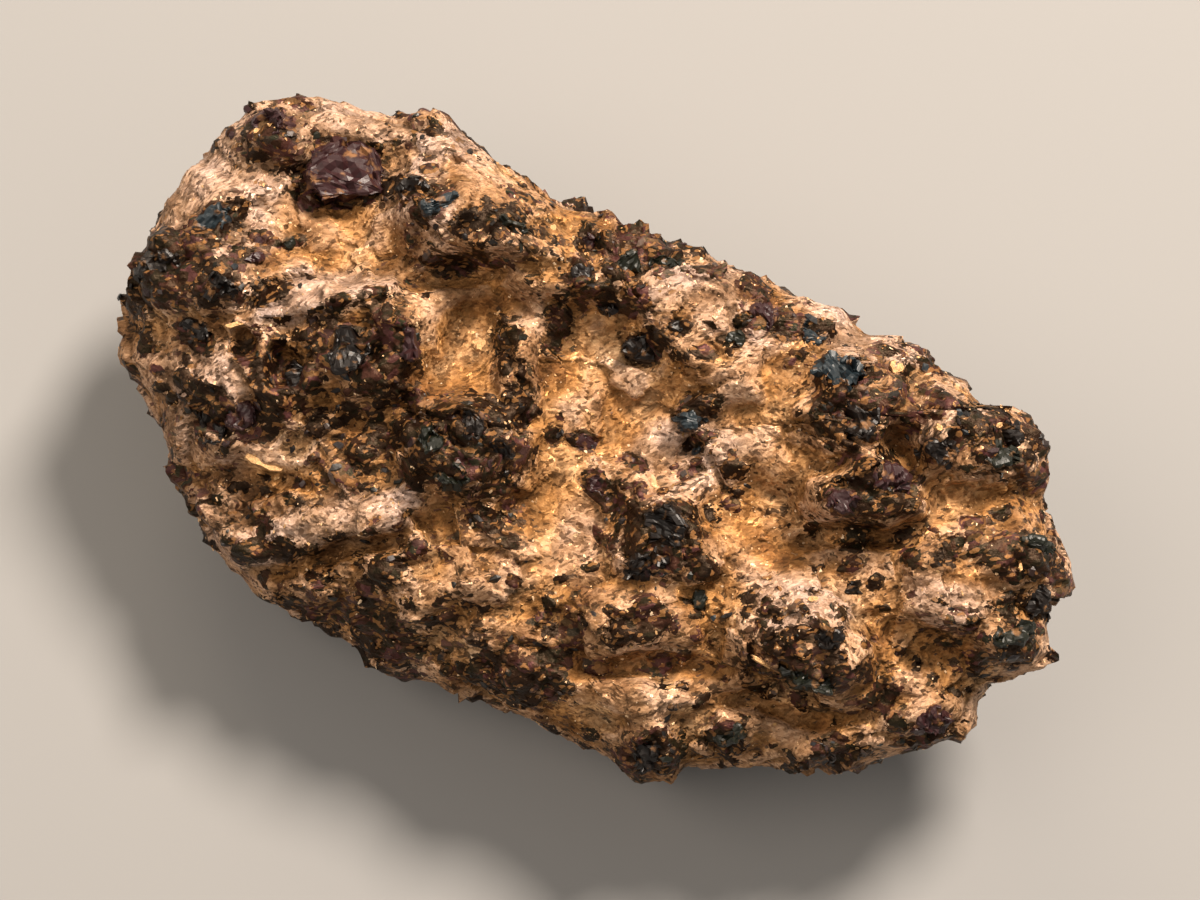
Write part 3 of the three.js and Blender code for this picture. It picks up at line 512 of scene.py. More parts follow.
@dataclass
class StoneShape:
    """The stone's surface as a function of direction, in millimetres in the face's own frame."""

    lie: Lie
    face_height: float = 5.4  # of the broad face over the middle plane, where no form lies
    underside_depth: float = 6.9
    rim_slope: float = 0.12  # rise of the rim across the stone
    squareness: float = 3.6  # how squarely the face turns down to the rim, where 2 is an ellipse
    underside_squareness: float = 2.5
    half_length: float = 20.7
    half_width: float = 10.4
    warp_reach: float = 0.6  # how far the forms' edges wander
    warp_size: float = 2.4  # and over what length
    warp_finer: float = 0.35  # a weaker wander on top
    warp_finer_scale: float = 2.7  # and how much finer it is
    crag_levels: tuple = ((0.55, 3.3), (0.38, 1.75))  # height and size of the flat-faced unevenness
    underside_swell: tuple = (1.3, 5.2)  # height and size
    patch_fray: tuple[float, float] = (0.3, 0.9)  # how far the patches' edges wander, over what length
    zone_fray: tuple[float, float] = (0.7, 1.7)  # the same for the weathered zones
    hidden_dark: float = 0.44  # share of dark crystal on the sides and the underside
    hidden_clumps: float = 0.6  # how far that share swings
    hidden_weathering: float = 0.4  # how grey the matrix is there
    planes: list = field(default_factory=list)  # the broken faces, worked out from their table

    def __post_init__(self) -> None:
        """Works out each broken face as the direction it looks in and its distance from the middle."""
        points = np.array(OUTLINE)
        for around_degrees, down_degrees, share in BREAKS:
            around = math.radians(around_degrees) - self.lie.turn
            down = math.radians(down_degrees)
            level = np.array([math.cos(around), math.sin(around)])
            reach = (points @ level).max()
            lowered = math.sin(down) * self.rim_slope * self.across(*(reach * level))
            normal = np.array([*(level * math.cos(down)), -math.sin(down)])
            self.planes.append((normal, share * reach * math.cos(down) - lowered))

    def across(self, x: Any, y: Any) -> Any:
        """How far a point is across the stone, square to its length."""
        return x * math.sin(self.lie.turn) + y * math.cos(self.lie.turn)

    def outline_radius(self, angle: np.ndarray) -> np.ndarray:
        """The outline's distance from the middle.

        Args:
            angle: directions, in radians.

        Returns:
            The distance in each direction.
        """
        c, s = np.cos(angle), np.sin(angle)
        radius = np.zeros(len(angle))
        for (x0, y0), (x1, y1) in zip(OUTLINE, OUTLINE[1:] + OUTLINE[:1]):
            before = x0 * s - y0 * c
            after = x1 * s - y1 * c
            gap = np.where(before == after, 1.0, before - after)
            t = before / gap
            reach = (x0 + t * (x1 - x0)) * c + (y0 + t * (y1 - y0)) * s
            crosses = (before * after <= 0) & (before != after) & (reach > 0)
            radius = np.where(crosses, reach, radius)
        return radius

    def form_height(self, x: np.ndarray, y: np.ndarray) -> np.ndarray:
        """Height of the broad face above the middle plane, from its main forms.

        Args:
            x: places along the face.
            y: places up the face.

        Returns:
            The heights.
        """
        one = np.stack([x / self.warp_size, y / self.warp_size, np.full_like(x, 11.5)], axis=1)
        other = one + np.array([0.0, 0.0, 26.0])
        shifts = [
            self.warp_reach * (smooth_noise(at) + self.warp_finer * smooth_noise(at * self.warp_finer_scale))
            for at in (one, other)
        ]
        warped_x, warped_y = x + shifts[0], y + shifts[1]
        height = np.full_like(x, self.face_height)
        for form in FORMS:
            height += form[5] * mound(warped_x, warped_y, form)
        return height

    def underside_height(self, x: np.ndarray, y: np.ndarray) -> np.ndarray:
        """Depth of the underside, which is level once the stone leans."""
        height, size = self.underside_swell
        swell = smooth_noise(np.stack([x / size, y / size, np.full_like(x, 60.5)], axis=1))
        return -self.underside_depth - math.tan(self.lie.lean) * self.across(x, y) + height * swell

    def relief(self, points: np.ndarray) -> np.ndarray:
        """The flat-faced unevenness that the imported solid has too.

        Args:
            points: places on the surface, one row each.

        Returns:
            How far the surface stands out at each.
        """
        total = np.zeros(len(points))
        for height, size in self.crag_levels:
            total += height * crags(points / size + np.array([0.0, 0.0, 40.0]))
        return total

    def surface(self, directions: np.ndarray) -> tuple[np.ndarray, np.ndarray]:
        """The surface's points for directions of the unit sphere.

        Args:
            directions: unit vectors, one row each.

        Returns:
            The points without their relief, and the direction in which it stands out at each.
        """
        level = np.hypot(directions[:, 0], directions[:, 1])
        squareness = np.where(directions[:, 2] > 0, self.squareness, self.underside_squareness)
        size = (level**squareness + np.abs(directions[:, 2]) ** squareness) ** (1 / squareness)
        outward, upward = level / size, directions[:, 2] / size
        along, over = directions[:, 0] * self.half_length, directions[:, 1] * self.half_width
        angle = np.arctan2(over, along) - self.lie.turn
        radius = outward * self.outline_radius(angle)
        x, y = radius * np.cos(angle), radius * np.sin(angle)
        rim = self.rim_slope * self.across(x, y)
        end = np.where(upward > 0, self.form_height(x, y), self.underside_height(x, y))
        points = np.stack([x, y, rim + np.abs(upward) * (end - rim)], axis=1)
        for normal, distance in self.planes:
            reach = points @ normal
            points *= np.where(reach > distance, distance / np.maximum(reach, 1e-6), 1.0)[:, None]
        steepness = outward ** (squareness - 1)
        out = np.stack([steepness * np.cos(angle), steepness * np.sin(angle), upward], axis=1)
        out /= np.linalg.norm(out, axis=1)[:, None]
        return points, out

    def height_at(self, x: float, y: float) -> float:
        """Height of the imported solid's surface at a point of the broad face.

        Args:
            x: the point's place along the face.
            y: its place up the face.

        Returns:
            The height.
        """
        share = min(1.0, math.hypot(x, y) / self.outline_radius(np.array([math.atan2(y, x)]))[0])
        upward = (1 - share**self.squareness) ** (1 / self.squareness)
        rim = self.rim_slope * self.across(x, y)
        height = rim + upward * (self.form_height(np.array([x]), np.array([y]))[0] - rim)
        return float(height + self.relief(np.array([[x, y, height]]))[0])

    def dark_share(self, points: np.ndarray, faceness: np.ndarray) -> np.ndarray:
        """Share of dark crystal at points of the surface.

        Args:
            points: places on the surface, one row each.
            faceness: 1 on the broad face and 0 on the sides and the underside.

        Returns:
            Values from 0, bare matrix, to 1, solid crystal.
        """
        reach, length = self.patch_fray
        x = points[:, 0] + reach * smooth_noise(points / length + 13.0)
        y = points[:, 1] + reach * smooth_noise(points / length + 57.0)
        face = np.full(len(points), MIXTURE)
        for patch in PATCHES:
            weight = mound(x, y, patch)
            face += weight * (patch[5] - face)
        clumps = smooth_noise(points / 3.1 + 7.0) + 0.7 * smooth_noise(points / 1.3 + 21.0)
        hidden = np.clip(self.hidden_dark + self.hidden_clumps * clumps, 0.0, 1.0)
        return faceness * face + (1 - faceness) * hidden

    def weathered_share(self, points: np.ndarray, faceness: np.ndarray) -> np.ndarray:
        """How far the matrix has turned pale and grey at points of the surface.

        Args:
            points: places on the surface, one row each.
            faceness: 1 on the broad face and 0 on the sides and the underside.

        Returns:
            Values from 0, ochre, to 1, grey.
        """
        reach, length = self.zone_fray
        wander = reach * smooth_noise(points / length + 31.0)
        x, y = points[:, 0] + wander, points[:, 1] + wander
        face = np.zeros(len(points))
        for zone in WEATHERED:
            face = np.maximum(face, zone[5] * mound(x, y, zone))
        return faceness * face + self.hidden_weathering * (1 - faceness)


@dataclass(frozen=True)
class Span:
    """Turns a range of one value into a range of another, held at both ends."""

    start: float
    end: float
    low: float = 0.0
    high: float = 1.0

    def apply(self, tree: bpy.types.NodeTree, value: bpy.types.NodeSocket) -> bpy.types.NodeSocket:
        """Adds the node that does it.

        Args:
            tree: the node tree.
            value: what is turned.

        Returns:
            The node's output.
        """
        inputs = {
            "Value": value,
            "From Min": self.start,
            "From Max": self.end,
            "To Min": self.low,
            "To Max": self.high,
        }
        return add(tree, "ShaderNodeMapRange", inputs, clamp=True).outputs["Result"]


def new_material(name: str) -> bpy.types.Material:
    """Makes a material whose node tree is still empty."""
    material = bpy.data.materials.new(name)
    material.use_nodes = True
    material.node_tree.nodes.clear()
    return material


def attribute(tree: bpy.types.NodeTree, name: str) -> bpy.types.NodeSocket:
    """Reads one number that the mesh stores for each vertex."""
    return add(tree, "ShaderNodeAttribute", attribute_name=name).outputs["Fac"]


def texture(
    tree: bpy.types.NodeTree, kind: str, vector: bpy.types.NodeSocket, size_mm: float, **inputs: float
) -> bpy.types.Node:
    """Adds a noise or a cell pattern of a real size.

    Args:
        tree: the material's tree.
        kind: the name of the pattern's node type.
        vector: where the pattern is read.
        size_mm: the size of its cells or bumps.
        inputs: its other inputs, such as Detail.

    Returns:
        The pattern's node.
    """
    return add(tree, kind, {"Vector": vector, "Scale": 1 / (size_mm * MM), **inputs})


def ramp(
    tree: bpy.types.NodeTree, value: bpy.types.NodeSocket, stops: tuple[tuple[float, str], ...]
) -> bpy.types.NodeSocket:
    """Colours a value by a ramp and returns the colour."""
    return paint_ramp(add(tree, "ShaderNodeValToRGB", {"Fac": value}), stops)


def times_plus(tree: bpy.types.NodeTree, value: Any, factor: float, more: Any) -> bpy.types.NodeSocket:
    """Works out a value times a factor, plus something more."""
    return add(tree, "ShaderNodeMath", {0: value, 1: factor, 2: more}, operation="MULTIPLY_ADD").outputs[0]


def larger(tree: bpy.types.NodeTree, one: Any, other: Any) -> bpy.types.NodeSocket:
    """Picks the larger of two values."""
    return add(tree, "ShaderNodeMath", {0: one, 1: other}, operation="MAXIMUM").outputs[0]


def mix_numbers(tree: bpy.types.NodeTree, share: Any, first: Any, second: Any) -> bpy.types.NodeSocket:
    """Mixes two numbers by a share of the second."""
    return add(tree, "ShaderNodeMix", {0: share, 2: first, 3: second}).outputs[0]


def mix_colours(
    tree: bpy.types.NodeTree, share: Any, first: Any, second: Any, blend: str = "MIX"
) -> bpy.types.NodeSocket:
    """Mixes two colours.

    Args:
        tree: the material's tree.
        share: how much of the second colour is laid on.
        first: the colour underneath.
        second: the colour laid on.
        blend: how it is laid on, as the mix node names it.

    Returns:
        The mixed colour.
    """
    inputs = {0: share, 6: first, 7: second}
    return add(tree, "ShaderNodeMix", inputs, data_type="RGBA", blend_type=blend).outputs[2]


def lean_by_cell(
    tree: bpy.types.NodeTree, cells: bpy.types.Node, tilt: float, normal: bpy.types.NodeSocket
) -> bpy.types.NodeSocket:
    """Leans each cell of a pattern its own way, as a broken face or a flake does.

    Args:
        tree: the material's tree.
        cells: a cell pattern, whose colours pick the ways.
        tilt: how far the cells lean.
        normal: the direction that they lean from.

    Returns:
        The leaning direction, not yet of unit length.
    """
    inputs = {0: cells.outputs["Color"], 1: (0.5, 0.5, 0.5)}
    way = add(tree, "ShaderNodeVectorMath", inputs, operation="SUBTRACT").outputs[0]
    inputs = {0: way, 1: (tilt,) * 3, 2: normal}
    return add(tree, "ShaderNodeVectorMath", inputs, operation="MULTIPLY_ADD").outputs[0]


class MatrixPatterns:
    """What the matrix finish is mixed from: the lump's attributes, and patterns sized as the real grain."""

    def __init__(self, tree: bpy.types.NodeTree, finish: "MatrixFinish") -> None:
        """Adds each attribute and pattern once.

        Args:
            tree: the material's tree.
            finish: the finish, which holds the sizes.
        """
        place = add(tree, "ShaderNodeTexCoord").outputs["Object"]
        self.normal = add(tree, "ShaderNodeNewGeometry").outputs["Normal"]
        self.inside = attribute(tree, "inside")
        self.tone = attribute(tree, "tone")
        self.dark = attribute(tree, "dark")
        self.weathered = attribute(tree, "weathered")
        self.crevice = finish.crevice_depth.apply(tree, attribute(tree, "crevice"))
        self.hollow = finish.hollow_depth.apply(tree, attribute(tree, "hollow"))
        bent = self.bent(tree, place, finish)
        cells = "ShaderNodeTexVoronoi"
        noise = "ShaderNodeTexNoise"
        self.facets = texture(tree, cells, bent, finish.facet_mm)
        self.specks = texture(tree, cells, bent, finish.speck_mm)
        self.flakes = texture(tree, cells, bent, finish.flake_mm)
        self.chip_luck = self.luck(tree, texture(tree, cells, bent, finish.chip_mm))
        self.speck_luck = self.luck(tree, self.specks)
        self.flake_luck = self.luck(tree, self.flakes)
        self.grit = texture(tree, noise, place, finish.grit_mm, Detail=3.0).outputs["Fac"]
        self.cloud = texture(tree, noise, place, finish.cloud_mm, Detail=7.0).outputs["Fac"]
        self.fibre = texture(tree, noise, bent, finish.fibre_mm, Detail=6.0, Roughness=0.7).outputs["Fac"]
        self.streak = texture(tree, noise, bent, finish.streak_mm, Detail=5.0).outputs["Fac"]

    def bent(
        self, tree: bpy.types.NodeTree, place: bpy.types.NodeSocket, finish: "MatrixFinish"
    ) -> bpy.types.NodeSocket:
        """Stretches places along the schist's grain, which runs across the stone, and bends them.

        Args:
            tree: the material's tree.
            place: the places, in metres.
            finish: the finish, which holds the stretch and the bend.

        Returns:
            The places to read a grained pattern at.
        """
        grained = add(
            tree,
            "ShaderNodeMapping",
            {
                "Vector": place,
                "Rotation": (0.0, 0.0, finish.grain_turn),
                "Scale": (finish.grain_stretch, 1.0, 1.0),
            },
            vector_type="TEXTURE",
        ).outputs[0]
        waves = texture(tree, "ShaderNodeTexNoise", place, finish.bend_mm, Detail=4.0).outputs["Color"]
        inputs = {0: waves, 1: (finish.bend * MM,) * 3, 2: grained}
        return add(tree, "ShaderNodeVectorMath", inputs, operation="MULTIPLY_ADD").outputs[0]

    def luck(self, tree: bpy.types.NodeTree, cells: bpy.types.Node) -> bpy.types.NodeOutputs:
        """Splits a cell pattern's colour into three numbers from 0 to 1 that each cell draws."""
        return add(tree, "ShaderNodeSeparateColor", {"Color": cells.outputs["Color"]}).outputs


@dataclass(frozen=True)
class MatrixFinish:
    """Fine mica schist, broken and not rubbed smooth: a gritty satin ground with a flash wherever a flake
    faces the light, pale and grey where it weathered and ochre in the hollows, with painted shade darkening
    its crevices. Dark crystal shows through it in bedded blocks, sharp-edged chips and flecks, with an edge
    that the grain frays."""

    name: str = "mica_schist_with_chrysoberyl"

    # Sizes of the real grain, in millimetres.
    chip_mm: float = 0.3
    facet_mm: float = 0.5
    speck_mm: float = 0.14
    flake_mm: float = 0.12
    grit_mm: float = 0.08
    fibre_mm: float = 0.15
    cloud_mm: float = 2.2
    streak_mm: float = 0.45
    bend_mm: float = 0.7
    bend: float = 0.45
    grit_depth_mm: float = 0.06
    grain_turn: float = math.radians(44)
    grain_stretch: float = 1.7

    # Depths below the surroundings, in millimetres, from a ridge to a crevice or a hollow.
    crevice_depth: Span = Span(-0.03, 0.06)
    hollow_depth: Span = Span(-0.25, 0.25)

    # Where dark crystal shows: how much streaks, specks, hollows and the mixture count, and the limits.
    bedded_streaks: float = 0.9
    bedded_specks: float = 0.28
    bedded_in_hollows: float = -0.12
    bedded: Span = Span(0.58, 0.62)
    loose_streaks: float = 0.8
    chips_in_dark: float = 0.7
    chipped: Span = Span(1.63, 1.67, 0.0, 0.9)
    flecks_in_dark: float = 0.62
    flecked: Span = Span(1.53, 1.57, 0.0, 0.8)

    # The ground's colours, and how strongly flakes, fibres, grime and the painted shade in crevices change
    # them.
    pale: tuple = (
        (0.32, "#80644E"),
        (0.42, "#A1846C"),
        (0.5, "#B89A84"),
        (0.58, "#C4A998"),
        (0.7, "#B6A096"),
    )
    ochre: tuple = ((0.32, "#8C6139"), (0.44, "#B48450"), (0.55, "#CA9B6A"), (0.7, "#D0AA80"))
    stained: Span = Span(0.36, 0.7, 0.45, 1.0)
    dusty: tuple = (
        (0.0, "#3E3024"),
        (0.1, "#84705C"),
        (0.25, "#CFC2B4"),
        (0.5, "#F0E8E0"),
        (0.8, "#FFFFFF"),
    )
    dusty_share: float = 0.62
    felted: tuple = ((0.34, "#54463A"), (0.45, "#BFB4AA"), (0.55, "#FFFFFF"))
    felted_share: float = 0.55
    grime: str = "#5B3F24"
    grimy: Span = Span(0.52, 0.7, 0.0, 0.38)
    # Painted shade: the ground is multiplied darker the deeper a place lies in a crevice, where shadow
    # falls.
    wear_and_crevice_shade: tuple = ((0.0, "#FFFFFF"), (0.45, "#F2EEE8"), (0.75, "#A39280"), (1.0, "#42352A"))
    crevice_shade_share: float = 0.5

    # The dark crystal's colours, by each crystal's own tone, and the tan dust on it.
    crystal: tuple = (
        (0.1, "#0D0705"),
        (0.35, "#1B0E08"),
        (0.5, "#15150C"),
        (0.6, "#29170E"),
        (0.7, "#371F19"),
        (0.78, "#4C2D2E"),
        (0.84, "#1E241B"),
        (0.95, "#6C4A2D"),
    )
    chip_tone: float = 0.35
    dust: str = "#9A6C40"
    dusted: Span = Span(0.84, 0.9, 0.0, 0.5)

    # How it takes the light: satin, with a few bright flakes, and faces that lean this way and that.
    shine: Span = Span(0.84, 0.9, 0.78, 0.3)
    gold: Span = Span(0.88, 0.92, 0.0, 0.6)
    dark_roughness: float = 0.42
    flake_tilt: float = 0.8
    facet_tilt: float = 0.4
    splinter_tilt: float = 0.3
    grit_strength: float = 0.6
    sheen: str = "#FFD8B4"

    def dark_crystal(self, tree: bpy.types.NodeTree, patterns: MatrixPatterns) -> bpy.types.NodeSocket:
        """Finds where dark crystal shows.

        Args:
            tree: the material's tree.
            patterns: the attributes and patterns.

        Returns:
            Values from 0, ground, to 1, crystal.
        """
        share = times_plus(tree, patterns.streak, self.bedded_streaks, patterns.inside)
        share = times_plus(tree, patterns.speck_luck[0], self.bedded_specks, share)
        share = times_plus(tree, patterns.hollow, self.bedded_in_hollows, share)
        bedded = self.bedded.apply(tree, share)
        share = times_plus(tree, patterns.streak, self.loose_streaks, patterns.chip_luck[0])
        share = times_plus(tree, patterns.dark, self.chips_in_dark, share)
        chipped = self.chipped.apply(tree, share)
        share = times_plus(tree, patterns.streak, self.loose_streaks, patterns.speck_luck[2])
        share = times_plus(tree, patterns.dark, self.flecks_in_dark, share)
        flecked = self.flecked.apply(tree, share)
        return larger(tree, bedded, larger(tree, chipped, flecked))

    def ground(self, tree: bpy.types.NodeTree, patterns: MatrixPatterns) -> bpy.types.NodeSocket:
        """Colours the matrix itself, with painted shade darkening its crevices.

        Args:
            tree: the material's tree.
            patterns: the attributes and patterns.

        Returns:
            The colour.
        """
        pale = ramp(tree, patterns.cloud, self.pale)
        ochre = ramp(tree, patterns.cloud, self.ochre)
        stained = self.stained.apply(tree, patterns.hollow)
        inputs = {0: stained, 1: patterns.weathered}
        stained = add(tree, "ShaderNodeMath", inputs, operation="SUBTRACT", use_clamp=True).outputs[0]
        colour = mix_colours(tree, stained, pale, ochre)
        dusty = ramp(tree, patterns.flake_luck[1], self.dusty)
        colour = mix_colours(tree, self.dusty_share, colour, dusty, "MULTIPLY")
        felted = ramp(tree, patterns.fibre, self.felted)
        colour = mix_colours(tree, self.felted_share, colour, felted, "MULTIPLY")
        grimy = self.grimy.apply(tree, patterns.streak)
        colour = mix_colours(tree, grimy, colour, linear(self.grime))
        # Painted shade in the crevices, from their depth below the surroundings.
        wear_and_crevice_shade = ramp(tree, patterns.crevice, self.wear_and_crevice_shade)
        return mix_colours(tree, self.crevice_shade_share, colour, wear_and_crevice_shade, "MULTIPLY")

    def dark_colour(self, tree: bpy.types.NodeTree, patterns: MatrixPatterns) -> bpy.types.NodeSocket:
        """Colours the dark crystal by its own tone, with tan dust caught on it."""
        tone = mix_numbers(tree, self.chip_tone, patterns.tone, patterns.chip_luck[1])
        dusted = self.dusted.apply(tree, patterns.speck_luck[1])
        return mix_colours(tree, dusted, ramp(tree, tone, self.crystal), linear(self.dust))

    def facing(
        self, tree: bpy.types.NodeTree, patterns: MatrixPatterns, is_dark: bpy.types.NodeSocket
    ) -> bpy.types.NodeSocket:
        """Leans the flakes of the ground and the facets of the crystal, and roughens both with grit.

        Args:
            tree: the material's tree.
            patterns: the attributes and patterns.
            is_dark: where dark crystal shows.

        Returns:
            The direction that the surface faces.
        """
        flaked = lean_by_cell(tree, patterns.flakes, self.flake_tilt, patterns.normal)
        faceted = lean_by_cell(tree, patterns.facets, self.facet_tilt, patterns.normal)
        faceted = lean_by_cell(tree, patterns.specks, self.splinter_tilt, faceted)
        inputs = {0: is_dark, 4: flaked, 5: faceted}
        leaning = add(tree, "ShaderNodeMix", inputs, data_type="VECTOR").outputs[1]
        leaning = add(tree, "ShaderNodeVectorMath", {0: leaning}, operation="NORMALIZE").outputs[0]
        inputs = {
            "Strength": self.grit_strength,
            "Distance": self.grit_depth_mm * MM,
            "Height": patterns.grit,
            "Normal": leaning,
        }
        return add(tree, "ShaderNodeBump", inputs).outputs["Normal"]

    def build(self) -> bpy.types.Material:
        """Returns the surface's material, which reads six attributes of the lump's mesh."""
        material = new_material(self.name)
        tree = material.node_tree
        patterns = MatrixPatterns(tree, self)
        is_dark = self.dark_crystal(tree, patterns)
        colour = mix_colours(tree, is_dark, self.ground(tree, patterns), self.dark_colour(tree, patterns))
        shine = self.shine.apply(tree, patterns.flake_luck[2])
        body = add(
            tree,
            "ShaderNodeBsdfPrincipled",
            {
                "Base Color": colour,
                "Roughness": mix_numbers(tree, is_dark, shine, self.dark_roughness),
                "Metallic": self.gold.apply(tree, patterns.flake_luck[2]),
                "Normal": self.facing(tree, patterns, is_dark),
                "IOR": 1.6,
                "Specular IOR Level": 0.2,
                "Specular Tint": linear(self.sheen),
            },
        )
        add(tree, "ShaderNodeOutputMaterial", {"Surface": body.outputs["BSDF"]})
        return material


@dataclass(frozen=True)
class CrystalFinish:
    """Chrysoberyl, variety alexandrite, as grown and broken: nearly black in the lump, glassy on its faces,
    with green, purple and steel-blue where light gets in, and tan dust in its hollows."""

    name: str = "chrysoberyl_rough"
    stria_mm: float = 0.12
    stria_depth_mm: float = 0.05
    stria_strength: float = 0.25
    dust_mm: float = 0.5
    dust: str = "#94683E"
    dusted: Span = Span(0.57, 0.68, 0.0, 0.6)
    clean_roughness: float = 0.42
    dusty_roughness: float = 0.8
    hues: tuple = (
        (0.0, "#090503"),
        (0.2, "#140B07"),
        (0.35, "#11140B"),
        (0.48, "#1B100A"),
        (0.6, "#2E1719"),
        (0.72, "#22130D"),
        (0.85, "#19242A"),
        (1.0, "#553A24"),
    )

    def build(self) -> bpy.types.Material:
        """Returns the crystals' material, which reads each crystal's tint attribute."""
        material = new_material(self.name)
        tree = material.node_tree
        place = add(tree, "ShaderNodeTexCoord").outputs["Object"]
        hue = ramp(tree, attribute(tree, "tint"), self.hues)
        dust = texture(tree, "ShaderNodeTexNoise", place, self.dust_mm, Detail=8.0).outputs["Fac"]
        dusted = self.dusted.apply(tree, dust)
        lines = texture(tree, "ShaderNodeTexNoise", place, self.stria_mm, Detail=3.0).outputs["Fac"]
        depth = self.stria_depth_mm * MM
        inputs = {"Strength": self.stria_strength, "Distance": depth, "Height": lines}
        striated = add(tree, "ShaderNodeBump", inputs).outputs["Normal"]
        body = add(
            tree,
            "ShaderNodeBsdfPrincipled",
            {
                "Base Color": mix_colours(tree, dusted, hue, linear(self.dust)),
                "Roughness": mix_numbers(tree, dusted, self.clean_roughness, self.dusty_roughness),
                "Normal": striated,
                "IOR": 1.75,
                "Specular IOR Level": 0.2,
            },
        )
        add(tree, "ShaderNodeOutputMaterial", {"Surface": body.outputs["BSDF"]})
        return material


@dataclass(frozen=True)
class MicaFinish:
    """Mica flakes split along their cleavage: pearly, pale gold, and as bright as metal where they face
    the light."""

    name: str = "mica_cleavage"
    ripple_mm: float = 0.13
    ripple_depth_mm: float = 0.12
    hues: tuple = ((0.0, "#6A4A30"), (0.3, "#A8804F"), (0.6, "#CDA372"), (1.0, "#EACDA8"))

    def build(self) -> bpy.types.Material:
        """Returns the flakes' material, which reads each flake's tint attribute."""
        material = new_material(self.name)
        tree = material.node_tree
        hue = ramp(tree, attribute(tree, "tint"), self.hues)
        place = add(tree, "ShaderNodeTexCoord").outputs["Object"]
        ripple = texture(tree, "ShaderNodeTexNoise", place, self.ripple_mm, Detail=4.0).outputs["Fac"]
        inputs = {"Strength": 1.0, "Distance": self.ripple_depth_mm * MM, "Height": ripple}
        rippled = add(tree, "ShaderNodeBump", inputs).outputs["Normal"]
        body = add(
            tree,
            "ShaderNodeBsdfPrincipled",
            {"Base Color": hue, "Roughness": 0.5, "Metallic": 0.45, "Normal": rippled, "IOR": 1.58},
        )
        add(tree, "ShaderNodeOutputMaterial", {"Surface": body.outputs["BSDF"]})
        return material


def mesh_object(name: str, points: np.ndarray, faces: np.ndarray) -> bpy.types.Object:
    """Makes a mesh object at the origin.

    Args:
        name: the piece's name.
        points: places in metres, one row each.
        faces: vertex numbers, one row for each triangle.

    Returns:
        The object, linked to the scene.
    """
    mesh = bpy.data.meshes.new(name)
    mesh.vertices.add(len(points))
    mesh.vertices.foreach_set("co", points.astype(np.float32).ravel())
    mesh.loops.add(faces.size)
    mesh.loops.foreach_set("vertex_index", faces.astype(np.int32).ravel())
    mesh.polygons.add(len(faces))
    mesh.polygons.foreach_set("loop_start", np.arange(0, faces.size, 3, dtype=np.int32))
    mesh.update(calc_edges=True)
    mesh.validate()
    return linked(name, mesh)


def linked(name: str, data: bpy.types.ID) -> bpy.types.Object:
    """Makes an object of a mesh, a light or a camera, and links it to the scene."""
    made = bpy.data.objects.new(name, data)
    bpy.context.scene.collection.objects.link(made)
    return made


def mesh_from(name: str, bm: bmesh.types.BMesh) -> bpy.types.Mesh:
    """Turns a working mesh into a plain one, and frees it."""
    mesh = bpy.data.meshes.new(name)
    bm.to_mesh(mesh)
    bm.free()
    return mesh


def set_attribute(piece: bpy.types.Object, name: str, values: np.ndarray) -> None:
    """Stores one number for each vertex of a piece."""
    layer = piece.data.attributes.new(name, "FLOAT", "POINT")
    layer.data.foreach_set("value", values.astype(np.float32))


def finish_piece(piece: bpy.types.Object, material: bpy.types.Material) -> None:
    """Gives a piece its material and the body it rides on."""
    piece.data.materials.clear()
    piece.data.materials.append(material)
    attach(piece, "root")
    log.info("%s: %d faces", piece.name, len(piece.data.polygons))


@dataclass(frozen=True)
class Slope:
    """A share that starts at one value of something and grows with it."""

    gain: float
    start: float

    def of(self, value: np.ndarray) -> np.ndarray:
        """The share for each value, from 0 to 1."""
        return np.clip(self.gain * (value - self.start), 0.0, 1.0)


